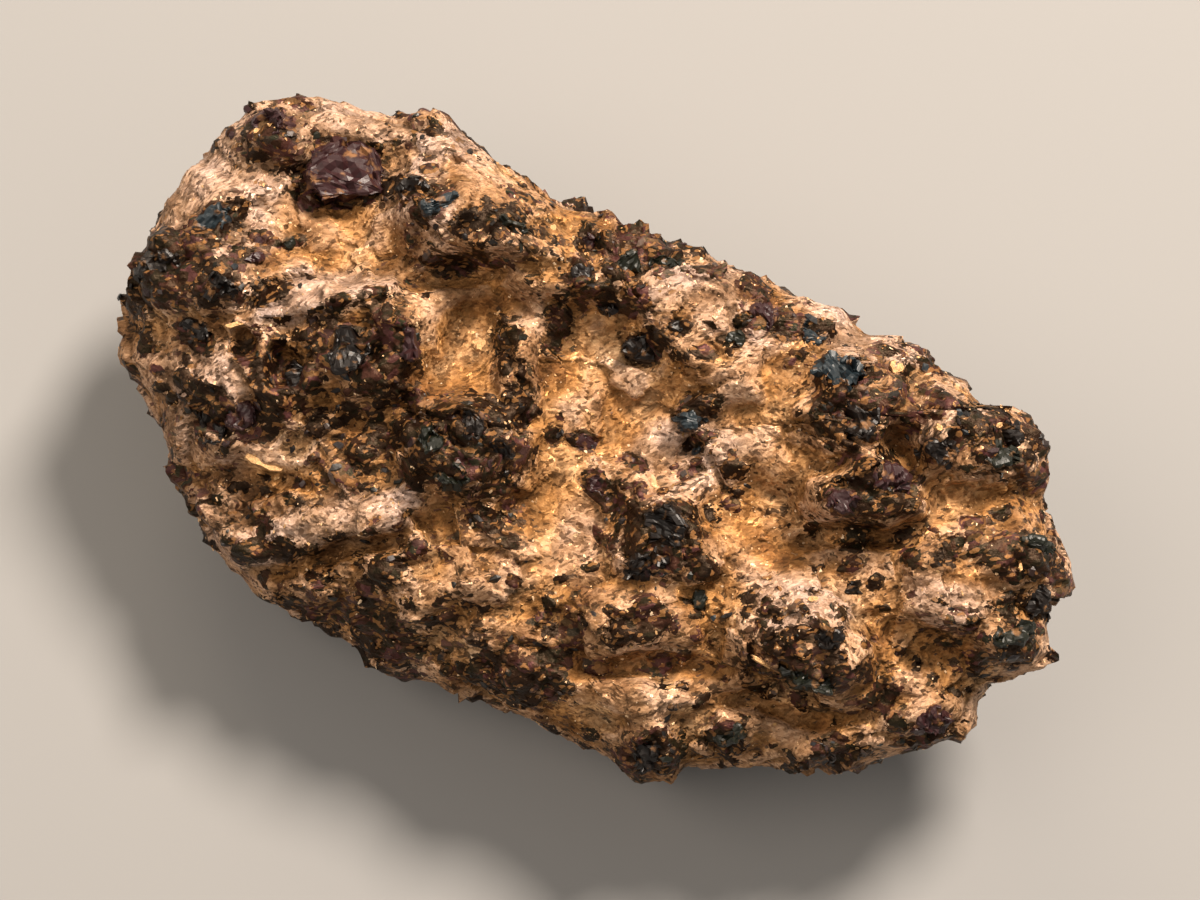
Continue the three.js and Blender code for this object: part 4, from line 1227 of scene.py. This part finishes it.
@dataclass
class Groundmass:
    """The lump itself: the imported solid's form, with the finer relief that the eye sees."""

    shape: StoneShape
    material: bpy.types.Material
    edge_divisions: int = 97  # of each edge of the icosahedron that the mesh starts from
    face_share: float = 2.6  # how much closer the mesh is on the broad face
    crowd_within: float = 0.985  # share of the outline within which it is closer
    crowd_steps: int = 4001
    block_levels: tuple = ((0.22, 1.4), (0.12, 0.66))  # height and size of the bedded crystals
    crystal_levels: tuple = ((0.07, 0.7), (0.03, 0.28))  # height and size of the facets on crystal
    matrix_levels: tuple = ((0.1, 1.0), (0.035, 0.35), (0.015, 0.2))  # and of the lumps on matrix
    block_share: Slope = Slope(1.15, 0.24)  # how many cells hold a crystal, by the share of crystal
    block_flank: float = 1.8  # how steeply a bedded crystal's sides rise
    block_end: float = 1.4  # how far its end slopes
    mass: Slope = Slope(2.2, 0.66)  # how solid the crystal is between the blocks, by the same share
    held: Slope = Slope(3.0, -0.1)  # how far a place counts as crystal, by its depth in one
    bare_calm: float = 0.6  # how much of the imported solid's unevenness bare matrix loses
    roughened: Slope = Slope(2.2, 0.25)  # how much of that loss the share of crystal makes good
    face_rise: float = 2.2  # height over the rim from which a place counts as on the broad face
    crevice_rounds: int = 12  # how wide the surroundings of a crevice are, in the mesh's own steps
    hollow_rounds: int = 120  # and those of a hollow

    def directions(self) -> tuple[np.ndarray, np.ndarray]:
        """Spreads a divided icosahedron over the stone, closer on the broad face.

        Returns:
            Unit vectors, and the triangles that join them.
        """
        bm = bmesh.new()
        bmesh.ops.create_icosphere(bm, subdivisions=1, radius=1.0)
        corners = np.array([v.co[:] for v in bm.verts])
        sides = [[v.index for v in f.verts] for f in bm.faces]
        bm.free()
        n = self.edge_divisions
        steps = [(a, b) for a in range(n + 1) for b in range(n + 1 - a)]
        index = {step: k for k, step in enumerate(steps)}
        local = [(index[a, b], index[a + 1, b], index[a, b + 1]) for a, b in steps if a + b < n]
        local += [(index[a + 1, b], index[a + 1, b + 1], index[a, b + 1]) for a, b in steps if a + b < n - 1]
        weights = np.array([(n - a - b, a, b) for a, b in steps]) / n
        points = np.concatenate([weights @ corners[side] for side in sides])
        faces = np.concatenate([np.array(local) + k * len(steps) for k in range(len(sides))])
        keys, back = np.unique(np.round(points, 7), axis=0, return_inverse=True)
        keys /= np.linalg.norm(keys, axis=1)[:, None]
        return self.crowd_face(keys), back.reshape(-1)[faces]

    def crowd_face(self, directions: np.ndarray) -> np.ndarray:
        """Moves directions up so that equal areas get equal shares, and the broad face more.

        Args:
            directions: unit vectors, one row each.

        Returns:
            The moved vectors.
        """
        theta = np.linspace(0, math.pi, self.crowd_steps)
        level, z = np.sin(theta), np.cos(theta)
        power = np.where(z > 0, self.shape.squareness, self.shape.underside_squareness)
        size = (level**power + np.abs(z) ** power) ** (1 / power)
        radius = level / size * math.sqrt(self.shape.half_length * self.shape.half_width)
        height = z / size * self.shape.face_height
        step = np.hypot(np.diff(radius, prepend=0), np.diff(height, prepend=height[0]))
        weight = np.where((z > 0) & (level / size < self.crowd_within), self.face_share, 1.0)
        area = np.cumsum(weight * radius * step)
        moved = np.interp((1 - directions[:, 2]) / 2, area / area[-1], theta)
        flat = directions[:, :2] / np.maximum(np.hypot(directions[:, 0], directions[:, 1]), 1e-9)[:, None]
        return np.column_stack([flat * np.sin(moved)[:, None], np.cos(moved)])

    def fine_relief(self, points: np.ndarray, dark: np.ndarray) -> tuple[np.ndarray, np.ndarray, np.ndarray]:
        """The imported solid's relief, calmer where bare, with crystals bedded in it.

        Args:
            points: places on the surface, in millimetres.
            dark: the share of dark crystal at each.

        Returns:
            Heights in millimetres, how deep each place lies in a crystal, and that crystal's tone.
        """
        share = self.block_share.of(dark)
        height = np.zeros(len(points))
        inside = np.full(len(points), -1.0)
        tone = np.zeros(len(points))
        for rise, size in self.block_levels:
            depth, end, own = bedded_blocks(points / size + 5.0, share)
            proud = 1 - (1 - np.clip(self.block_flank * depth, 0.0, 1.0)) ** 2
            height += rise * proud * (1 + self.block_end * end)
            tone = np.where(depth > inside, own, tone)
            inside = np.maximum(inside, depth)
        inside += self.mass.of(dark)
        crystal = sum(h * crags(points / s + 5.0) for h, s in self.crystal_levels)
        matrix = sum(h * smooth_noise(points / s + 9.0) for h, s in self.matrix_levels)
        held = self.held.of(inside)
        calm = 1 - self.bare_calm * (1 - self.roughened.of(dark))
        height += self.shape.relief(points) * calm + held * crystal + (1 - held) * matrix
        return height, inside, tone

    def cavity(self, points: np.ndarray, out: np.ndarray, faces: np.ndarray, rounds: int) -> np.ndarray:
        """How far each point lies below the mean of its surroundings.

        Args:
            points: places on the surface, in millimetres.
            out: the direction away from the stone at each.
            faces: the triangles that join them.
            rounds: how many times neighbours are averaged, so how wide the surroundings are.

        Returns:
            Depths in millimetres, below zero on ridges.
        """
        start = faces[:, [0, 1, 2, 1, 2, 0]].ravel()
        end = faces[:, [1, 2, 0, 0, 1, 2]].ravel()
        count = np.bincount(start, minlength=len(points))[:, None]
        mean = points
        for _ in range(rounds):
            sums = [np.bincount(start, mean[end, axis], len(points)) for axis in range(3)]
            mean = 0.5 * mean + 0.5 * np.column_stack(sums) / count
        return ((mean - points) * out).sum(axis=1)

    def build(self) -> bpy.types.Object:
        """Makes the lump and stores the numbers that its material reads.

        Returns:
            The finished piece.
        """
        directions, faces = self.directions()
        points, out = self.shape.surface(directions)
        rim = self.shape.rim_slope * self.shape.across(points[:, 0], points[:, 1])
        faceness = np.clip((points[:, 2] - rim) / self.face_rise, 0.0, 1.0)
        dark = self.shape.dark_share(points, faceness)
        height, inside, tone = self.fine_relief(points, dark)
        points = points + out * height[:, None]
        placed = self.shape.lie.place(points)
        placed[:, 2] = np.maximum(placed[:, 2], 0.0)
        piece = mesh_object("lump", placed * MM, faces)
        set_attribute(piece, "dark", dark)
        set_attribute(piece, "weathered", self.shape.weathered_share(points, faceness))
        set_attribute(piece, "inside", inside)
        set_attribute(piece, "tone", tone)
        set_attribute(piece, "crevice", self.cavity(points, out, faces, self.crevice_rounds))
        set_attribute(piece, "hollow", self.cavity(points, out, faces, self.hollow_rounds))
        piece.data.polygons.foreach_set("use_smooth", np.ones(len(piece.data.polygons), dtype=bool))
        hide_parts(NODE)
        finish_piece(piece, self.material)
        return piece


@dataclass
class CrystalBlocks:
    """The larger crystals, each a six-sided block that widens to its root and ends in a sloping face."""

    shape: StoneShape
    material: bpy.types.Material
    sink: float = 0.5  # how deep the root lies in the stone
    sides: int = 6
    corner_wander: float = 0.6  # how far a corner strays, as a share of one side
    corner_size: tuple[float, float] = (0.9, 0.25)  # least size and how much more the largest has
    top_width: float = 0.76
    top_spread: tuple[float, float] = (0.85, 0.3)  # least share of that width, and how much more
    top_height: float = 0.6
    top_tilt: float = 0.45
    reach: float = 0.93  # share of the outline's reach that a crystal's middle keeps within
    flat_within: float = math.radians(4)  # faces closer in direction than this become one
    bevel: float = 0.05
    bevel_profile: float = 0.6
    fewest_cuts: int = 2
    cuts_per_mm: float = 3.6
    most_cuts: int = 8
    chips: tuple = ((0.3, 0.85), (0.12, 0.36), (0.04, 0.16))  # depth and size of chips and facets

    def corners(self, half_length: float, half_width: float, half_height: float, seed: int) -> list[Vector]:
        """The corners of one crystal about the origin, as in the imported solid.

        Args:
            half_length: half its length.
            half_width: half its width.
            half_height: half its height.
            seed: its number in the list, which picks its uneven shape.

        Returns:
            The corners, a lower and an upper one on each side.
        """
        number = np.array([float(seed)])
        slope_x = self.top_tilt * (2 * grid_value(number, 7, 1)[0] - 1)
        slope_y = self.top_tilt * (2 * grid_value(number, 7, 2)[0] - 1)
        made = []
        for n in range(self.sides):
            angle = (n + self.corner_wander * grid_value(number, n, 1)[0]) / self.sides * 2 * math.pi
            size = self.corner_size[0] + self.corner_size[1] * grid_value(number, n, 2)[0]
            x, y = size * half_length * math.cos(angle), size * half_width * math.sin(angle)
            top = self.top_width * (self.top_spread[0] + self.top_spread[1] * grid_value(number, n, 3)[0])
            made.append(Vector((x, y, -half_height)))
            upper = self.top_height * half_height + slope_x * x + slope_y * y
            made.append(Vector((top * x, top * y, upper)))
        return made

    def add_crystal(self, bm: bmesh.types.BMesh, corners: list[Vector], move: Matrix, size: float) -> list:
        """Adds one crystal to a mesh: a hull with softened edges and chipped faces.

        Args:
            bm: the mesh that gets it.
            corners: the hull's corners about the origin.
            move: what sets it in place.
            size: its half length, which sets how finely it is cut and how deep its chips are.

        Returns:
            Its vertices.
        """
        cuts = min(self.most_cuts, self.fewest_cuts + round(self.cuts_per_mm * size))
        own = bmesh.new()
        for corner in corners:
            own.verts.new(corner)
        hull = bmesh.ops.convex_hull(own, input=own.verts[:])
        bmesh.ops.delete(own, geom=hull["geom_interior"] + hull["geom_unused"], context="VERTS")
        bmesh.ops.dissolve_limit(own, angle_limit=self.flat_within, verts=own.verts[:], edges=own.edges[:])
        bmesh.ops.bevel(
            own, geom=own.edges[:], offset=self.bevel, segments=1, affect="EDGES", profile=self.bevel_profile
        )
        bmesh.ops.triangulate(own, faces=own.faces[:])
        bmesh.ops.subdivide_edges(own, edges=own.edges[:], cuts=cuts, use_grid_fill=True)
        bmesh.ops.triangulate(own, faces=own.faces[:])
        bmesh.ops.recalc_face_normals(own, faces=own.faces[:])
        own.normal_update()
        # Each crystal takes its chips from its own part of the pattern.
        places = np.array([v.co[:] for v in own.verts]) + 10.0 * len(bm.verts)
        wear_and_crevice_shade = sum(min(1.0, size) * height * crags(places / span) for height, span in self.chips)
        for vertex, depth in zip(own.verts, wear_and_crevice_shade):
            vertex.co += vertex.normal * float(depth)
        own.transform(move)
        copy = {v: bm.verts.new(v.co) for v in own.verts}
        for f in own.faces:
            bm.faces.new([copy[v] for v in f.verts])
        own.free()
        return list(copy.values())

    def build(self) -> bpy.types.Object:
        """Makes all the crystals that stand out.

        Returns:
            The finished piece, one joined mesh.
        """
        bm = bmesh.new()
        layer = bm.verts.layers.float.new("tint")
        for seed, crystal in enumerate(CRYSTALS + SMALL_CRYSTALS):
            x, y, half_length, half_width, half_height, turn, tint = crystal
            radius = self.shape.outline_radius(np.array([math.atan2(y, x)]))[0]
            share = max(1.0, math.hypot(x, y) / (self.reach * radius))
            x, y = x / share, y / share
            z = self.shape.height_at(x, y) - self.sink
            move = self.shape.lie.move_to(x, y, z) @ Matrix.Rotation(math.radians(turn), 4, "Z")
            corners = self.corners(half_length, half_width, half_height + self.sink, seed)
            for vertex in self.add_crystal(bm, corners, move, half_length):
                vertex[layer] = tint.value
        piece = linked("crystals", mesh_from("crystals", bm))
        finish_piece(piece, self.material)
        return piece


@dataclass
class Scatter:
    """Small pieces strewn over the lump by a Geometry Nodes tree, then made a plain mesh.

    Sizes are in millimetres. on_dark holds the shares of dark crystal where they are absent and where they
    lie at their closest.
    """

    name: str
    host: bpy.types.Object
    material: bpy.types.Material
    per_square_mm: float
    smallest: float
    largest: float
    corners: int
    flatness: float
    lean: float
    seed: int
    on_dark: tuple[float, float]
    uneven: tuple[float, float] = (0.8, 1.15)
    few_large: float = 2.4
    least_stretch: tuple = (0.7, 0.6, 0.7)
    most_stretch: tuple = (1.5, 1.0, 1.1)

    def grain(self) -> bpy.types.Object:
        """Makes a single grain: a hull of a few corners, flattened to a flake or left chunky.

        Returns:
            The grain, not linked to the scene.
        """
        bm = bmesh.new()
        rng = np.random.default_rng(self.seed)
        for n in range(self.corners):
            angle = n * math.pi * (3 - math.sqrt(5))
            z = 1 - (2 * n + 1) / self.corners
            level = math.sqrt(1 - z * z)
            size = rng.uniform(*self.uneven)
            x, y = size * level * math.cos(angle), size * level * math.sin(angle)
            bm.verts.new((x, y, size * z * self.flatness))
        hull = bmesh.ops.convex_hull(bm, input=bm.verts[:])
        bmesh.ops.delete(bm, geom=hull["geom_interior"] + hull["geom_unused"], context="VERTS")
        bmesh.ops.recalc_face_normals(bm, faces=bm.faces[:])
        return bpy.data.objects.new(self.name + "_grain", mesh_from(self.name + "_grain", bm))

    def strewn(self, tree: bpy.types.NodeTree, given: bpy.types.NodeOutputs) -> bpy.types.NodeOutputs:
        """Strews points over the lump, closer where its share of dark crystal asks for it.

        Args:
            tree: the Geometry Nodes tree.
            given: the tree's own inputs.

        Returns:
            The outputs of the node that strews the points.
        """
        dark = add(tree, "GeometryNodeInputNamedAttribute", {"Name": "dark"}, data_type="FLOAT").outputs[0]
        inputs = {"Value": dark, "From Min": self.on_dark[0], "From Max": self.on_dark[1]}
        share = add(tree, "ShaderNodeMapRange", inputs).outputs["Result"]
        inputs = {0: share, 1: given["Per square metre"]}
        density = add(tree, "ShaderNodeMath", inputs, operation="MULTIPLY").outputs[0]
        inputs = {"Mesh": given["Lump"], "Density": density, "Seed": given["Seed"]}
        return add(tree, "GeometryNodeDistributePointsOnFaces", inputs, distribute_method="RANDOM").outputs

    def turned(
        self, tree: bpy.types.NodeTree, given: bpy.types.NodeOutputs, upright: bpy.types.NodeSocket
    ) -> bpy.types.NodeSocket:
        """Turns each grain at random and leans it a little from the surface.

        Args:
            tree: the Geometry Nodes tree.
            given: the tree's own inputs.
            upright: the rotation that stands a grain square on the surface.

        Returns:
            The rotation of each grain.
        """
        low = add(tree, "ShaderNodeMath", {0: given["Lean"], 1: -1.0}, operation="MULTIPLY").outputs[0]
        lean_low = add(tree, "ShaderNodeCombineXYZ", {"X": low, "Y": low, "Z": -math.pi}).outputs[0]
        inputs = {"X": given["Lean"], "Y": given["Lean"], "Z": math.pi}
        lean_high = add(tree, "ShaderNodeCombineXYZ", inputs).outputs[0]
        inputs = {0: lean_low, 1: lean_high, "Seed": 3}
        turn = add(tree, "FunctionNodeRandomValue", inputs, data_type="FLOAT_VECTOR").outputs[0]
        inputs = {"Rotation": upright, "Rotate By": turn}
        return add(tree, "FunctionNodeRotateRotation", inputs, rotation_space="LOCAL").outputs[0]

    def sized(self, tree: bpy.types.NodeTree, given: bpy.types.NodeOutputs) -> bpy.types.NodeSocket:
        """Sizes and stretches each grain at random, with many small ones and few large.

        Args:
            tree: the Geometry Nodes tree.
            given: the tree's own inputs.

        Returns:
            The scale of each grain.
        """
        luck = add(tree, "FunctionNodeRandomValue", {"Seed": 5}, data_type="FLOAT").outputs[1]
        skewed = add(tree, "ShaderNodeMath", {0: luck, 1: self.few_large}, operation="POWER").outputs[0]
        inputs = {"Value": skewed, "To Min": given["Smallest"], "To Max": given["Largest"]}
        size = add(tree, "ShaderNodeMapRange", inputs).outputs["Result"]
        inputs = {0: self.least_stretch, 1: self.most_stretch, "Seed": 9}
        stretch = add(tree, "FunctionNodeRandomValue", inputs, data_type="FLOAT_VECTOR").outputs[0]
        return add(tree, "ShaderNodeVectorMath", {0: stretch, "Scale": size}, operation="SCALE").outputs[0]

    def tree(self, grain: bpy.types.Object) -> bpy.types.NodeTree:
        """Builds the tree that strews, turns, sizes and tints the grains.

        Args:
            grain: the single grain.

        Returns:
            The tree, which ends in real geometry with its material set.
        """
        tree = bpy.data.node_groups.new(self.name, "GeometryNodeTree")
        face = tree.interface
        face.new_socket("Lump", in_out="INPUT", socket_type="NodeSocketGeometry")
        for name in ("Per square metre", "Smallest", "Largest", "Lean"):
            face.new_socket(name, in_out="INPUT", socket_type="NodeSocketFloat")
        face.new_socket("Seed", in_out="INPUT", socket_type="NodeSocketInt")
        face.new_socket("Strewn", in_out="OUTPUT", socket_type="NodeSocketGeometry")
        given = add(tree, "NodeGroupInput").outputs
        strewn = self.strewn(tree, given)
        one = add(tree, "GeometryNodeObjectInfo", {"Object": grain, "As Instance": True}).outputs["Geometry"]
        inputs = {
            "Points": strewn["Points"],
            "Instance": one,
            "Rotation": self.turned(tree, given, strewn["Rotation"]),
            "Scale": self.sized(tree, given),
        }
        placed = add(tree, "GeometryNodeInstanceOnPoints", inputs).outputs["Instances"]
        hue = add(tree, "FunctionNodeRandomValue", {"Seed": 11}, data_type="FLOAT").outputs[1]
        tinted = add(
            tree,
            "GeometryNodeStoreNamedAttribute",
            {"Geometry": placed, "Name": "tint", "Value": hue},
            data_type="FLOAT",
            domain="INSTANCE",
        ).outputs["Geometry"]
        real = add(tree, "GeometryNodeRealizeInstances", {"Geometry": tinted}).outputs["Geometry"]
        inputs = {"Geometry": real, "Material": self.material}
        dressed = add(tree, "GeometryNodeSetMaterial", inputs).outputs["Geometry"]
        add(tree, "NodeGroupOutput", {"Strewn": dressed})
        return tree

    def build(self) -> bpy.types.Object:
        """Runs the tree on a copy of the lump and keeps what it strews.

        Returns:
            The finished piece, one plain mesh.
        """
        grain = self.grain()
        tree = self.tree(grain)
        carrier = linked(self.name + "_carrier", self.host.data.copy())
        modifier = carrier.modifiers.new(self.name, "NODES")
        modifier.node_group = tree
        values = {
            "Per square metre": self.per_square_mm / MM**2,
            "Smallest": self.smallest * MM,
            "Largest": self.largest * MM,
            "Lean": self.lean,
            "Seed": self.seed,
        }
        for socket in tree.interface.items_tree:
            if socket.item_type == "SOCKET" and socket.name in values:
                modifier[socket.identifier] = values[socket.name]
        graph = bpy.context.evaluated_depsgraph_get()
        mesh = bpy.data.meshes.new_from_object(carrier.evaluated_get(graph))
        mesh.name = self.name
        carrier.modifiers.remove(modifier)
        bpy.data.objects.remove(carrier)
        bpy.data.objects.remove(grain)
        piece = linked(self.name, mesh)
        finish_piece(piece, self.material)
        return piece


@dataclass
class MicaPlates:
    """The few mica plates large enough to flash alone, as thin leaves with broken edges in the surface."""

    shape: StoneShape
    material: bpy.types.Material
    share: float = 0.75
    thickness: float = 0.1
    lift: float = 0.02
    facing: tuple[float, float] = (0.29, 0.41)
    lean: float = 0.16
    corners: int = 11
    upper_width: float = 0.94
    raggedness: tuple[float, float] = (0.7, 0.6)
    first_seed: int = 300
    tint: float = 0.45

    def move(self, plate: tuple, number: np.ndarray) -> Matrix:
        """What lays one plate in the surface, facing nearly towards the main light.

        Args:
            plate: the plate's row of the list.
            number: what picks how it leans.

        Returns:
            The move, which also gives a leaf of unit size the plate's size.
        """
        x, y, half_length, half_width, turn = plate
        z = self.shape.height_at(x, y) + self.lift
        lean = self.lean * (2 * np.array([grid_value(number, 1, 1)[0], grid_value(number, 2, 1)[0]]) - 1)
        facing = Vector((self.facing[0] + lean[0], self.facing[1] + lean[1], 1.0)).normalized()
        size = (self.share * half_length, self.share * half_width, self.thickness, 1.0)
        return (
            self.shape.lie.move_to(x, y, z)
            @ Vector((0.0, 0.0, 1.0)).rotation_difference(facing).to_matrix().to_4x4()
            @ Matrix.Rotation(math.radians(turn), 4, "Z")
            @ Matrix.Diagonal(size)
        )

    def build(self) -> bpy.types.Object:
        """Makes all the plates.

        Returns:
            The finished piece, one joined mesh.
        """
        bm = bmesh.new()
        layer = bm.verts.layers.float.new("tint")
        least, spread = self.raggedness
        for seed, plate in enumerate(PLATES):
            number = np.array([float(seed + self.first_seed)])
            move = self.move(plate, number)
            made = bmesh.ops.create_cone(
                bm,
                cap_ends=True,
                cap_tris=True,
                segments=self.corners,
                radius1=1.0,
                radius2=self.upper_width,
                depth=1.0,
            )
            for n, vertex in enumerate(made["verts"]):
                vertex.co *= least + spread * grid_value(number, n // 2, 5)[0]
                vertex.co = move @ vertex.co
                vertex[layer] = self.tint
        bmesh.ops.recalc_face_normals(bm, faces=bm.faces[:])
        piece = linked("mica_plates", mesh_from("mica_plates", bm))
        finish_piece(piece, self.material)
        return piece


@dataclass
class Studio:
    """A plain pale floor, soft lights and the camera that faces the broad face.

    Each light has its name, its place in millimetres as the camera sees it (right, up and towards the eye),
    its watts, its width in millimetres and its colour.
    """

    lie: Lie
    aim: tuple[float, float] = (0.2, -0.4)
    aim_height: float = 5.0
    view_width: float = 48.0
    lens: float = 100.0
    sensor: float = 36.0
    clip: tuple[float, float] = (0.005, 10.0)
    lit_height: float = 4.0
    lights: tuple = (
        ("key", (130.0, 220.0, 190.0), 2.45, 90.0, "#FFF0E0"),
        ("fill", (-180.0, 60.0, 280.0), 0.5, 220.0, "#FFEEDC"),
        ("rim", (-60.0, 260.0, 90.0), 0.26, 120.0, "#FFE9CC"),
    )
    floor_colour: str = "#888888"
    floor_roughness: float = 0.9
    floor_half_metres: float = 1.2
    sky_colour: str = "#E6DFD6"
    sky_strength: float = 0.52

    def camera(self) -> None:
        """Looks square on to the broad face, which fills most of the picture."""
        data = bpy.data.cameras.new("camera")
        data.lens = self.lens
        data.sensor_width = self.sensor
        data.clip_start, data.clip_end = self.clip
        camera = linked("camera", data)
        distance = self.view_width * self.lens / self.sensor
        target = self.lie.place_metres(self.aim[0], self.aim[1], self.aim_height)
        back = self.lie.rotation() @ Vector((0.0, 0.0, 1.0))
        at = Matrix.Translation(target + back * distance * MM)
        camera.matrix_world = at @ self.lie.rotation().to_4x4()
        bpy.context.scene.camera = camera

    def light(self, name: str, at: tuple, watts: float, size: float, colour: str) -> None:
        """Adds an area light that looks at the stone.

        Args:
            name: the light's name.
            at: its place in millimetres as the camera sees it: right, up and towards the eye.
            watts: its power.
            size: its width in millimetres.
            colour: its sRGB hex colour.
        """
        data = bpy.data.lights.new(name, "AREA")
        data.shape = "DISK"
        data.size = size * MM
        data.energy = watts
        data.color = linear(colour)[:3]
        lamp = linked(name, data)
        place = self.lie.place_metres(*at)
        target = self.lie.place_metres(0.0, 0.0, self.lit_height)
        lamp.location = place
        lamp.rotation_mode = "QUATERNION"
        lamp.rotation_quaternion = (target - place).to_track_quat("-Z", "Y")

    def floor(self) -> None:
        """Lays the pale matt floor that the stone rests on."""
        bm = bmesh.new()
        bmesh.ops.create_grid(bm, x_segments=2, y_segments=2, size=self.floor_half_metres)
        floor = linked("floor", mesh_from("floor", bm))
        material = bpy.data.materials.new("matte_paper")
        material.use_nodes = True
        body = material.node_tree.nodes["Principled BSDF"]
        body.inputs["Base Color"].default_value = linear(self.floor_colour)
        body.inputs["Roughness"].default_value = self.floor_roughness
        floor.data.materials.append(material)

    def sky(self) -> None:
        """Fills the shadows with soft, even light."""
        world = bpy.data.worlds.new("studio")
        world.use_nodes = True
        background = world.node_tree.nodes["Background"]
        background.inputs["Color"].default_value = linear(self.sky_colour)
        background.inputs["Strength"].default_value = self.sky_strength
        bpy.context.scene.world = world

    def build(self) -> None:
        """Sets the whole studio up."""
        self.camera()
        for light in self.lights:
            self.light(*light)
        self.floor()
        self.sky()
        bpy.context.scene.view_settings.view_transform = "Standard"


def strew(lump: bpy.types.Object, crystal: bpy.types.Material, mica: bpy.types.Material) -> None:
    """Strews dark grains over the parts rich in crystal, and mica flakes over the bare matrix.

    Args:
        lump: the piece that they lie on.
        crystal: the grains' material.
        mica: the flakes' material.
    """
    grains = Scatter(
        name="dark_grains",
        host=lump,
        material=crystal,
        per_square_mm=1.2,
        smallest=0.06,
        largest=0.28,
        corners=9,
        flatness=0.4,
        lean=0.3,
        seed=21,
        on_dark=(0.3, 1.0),
    )
    grains.build()
    flakes = Scatter(
        name="mica_flakes",
        host=lump,
        material=mica,
        per_square_mm=3.5,
        smallest=0.04,
        largest=0.12,
        corners=7,
        flatness=0.1,
        lean=0.5,
        seed=34,
        on_dark=(1.15, 0.1),
    )
    flakes.build()


def main() -> None:
    lie = Lie()
    shape = StoneShape(lie)
    crystal = CrystalFinish().build()
    mica = MicaFinish().build()
    lump = Groundmass(shape, MatrixFinish().build()).build()
    CrystalBlocks(shape, crystal).build()
    strew(lump, crystal, mica)
    MicaPlates(shape, mica).build()
    Studio(lie).build()


if __name__ == "__main__":
    main()
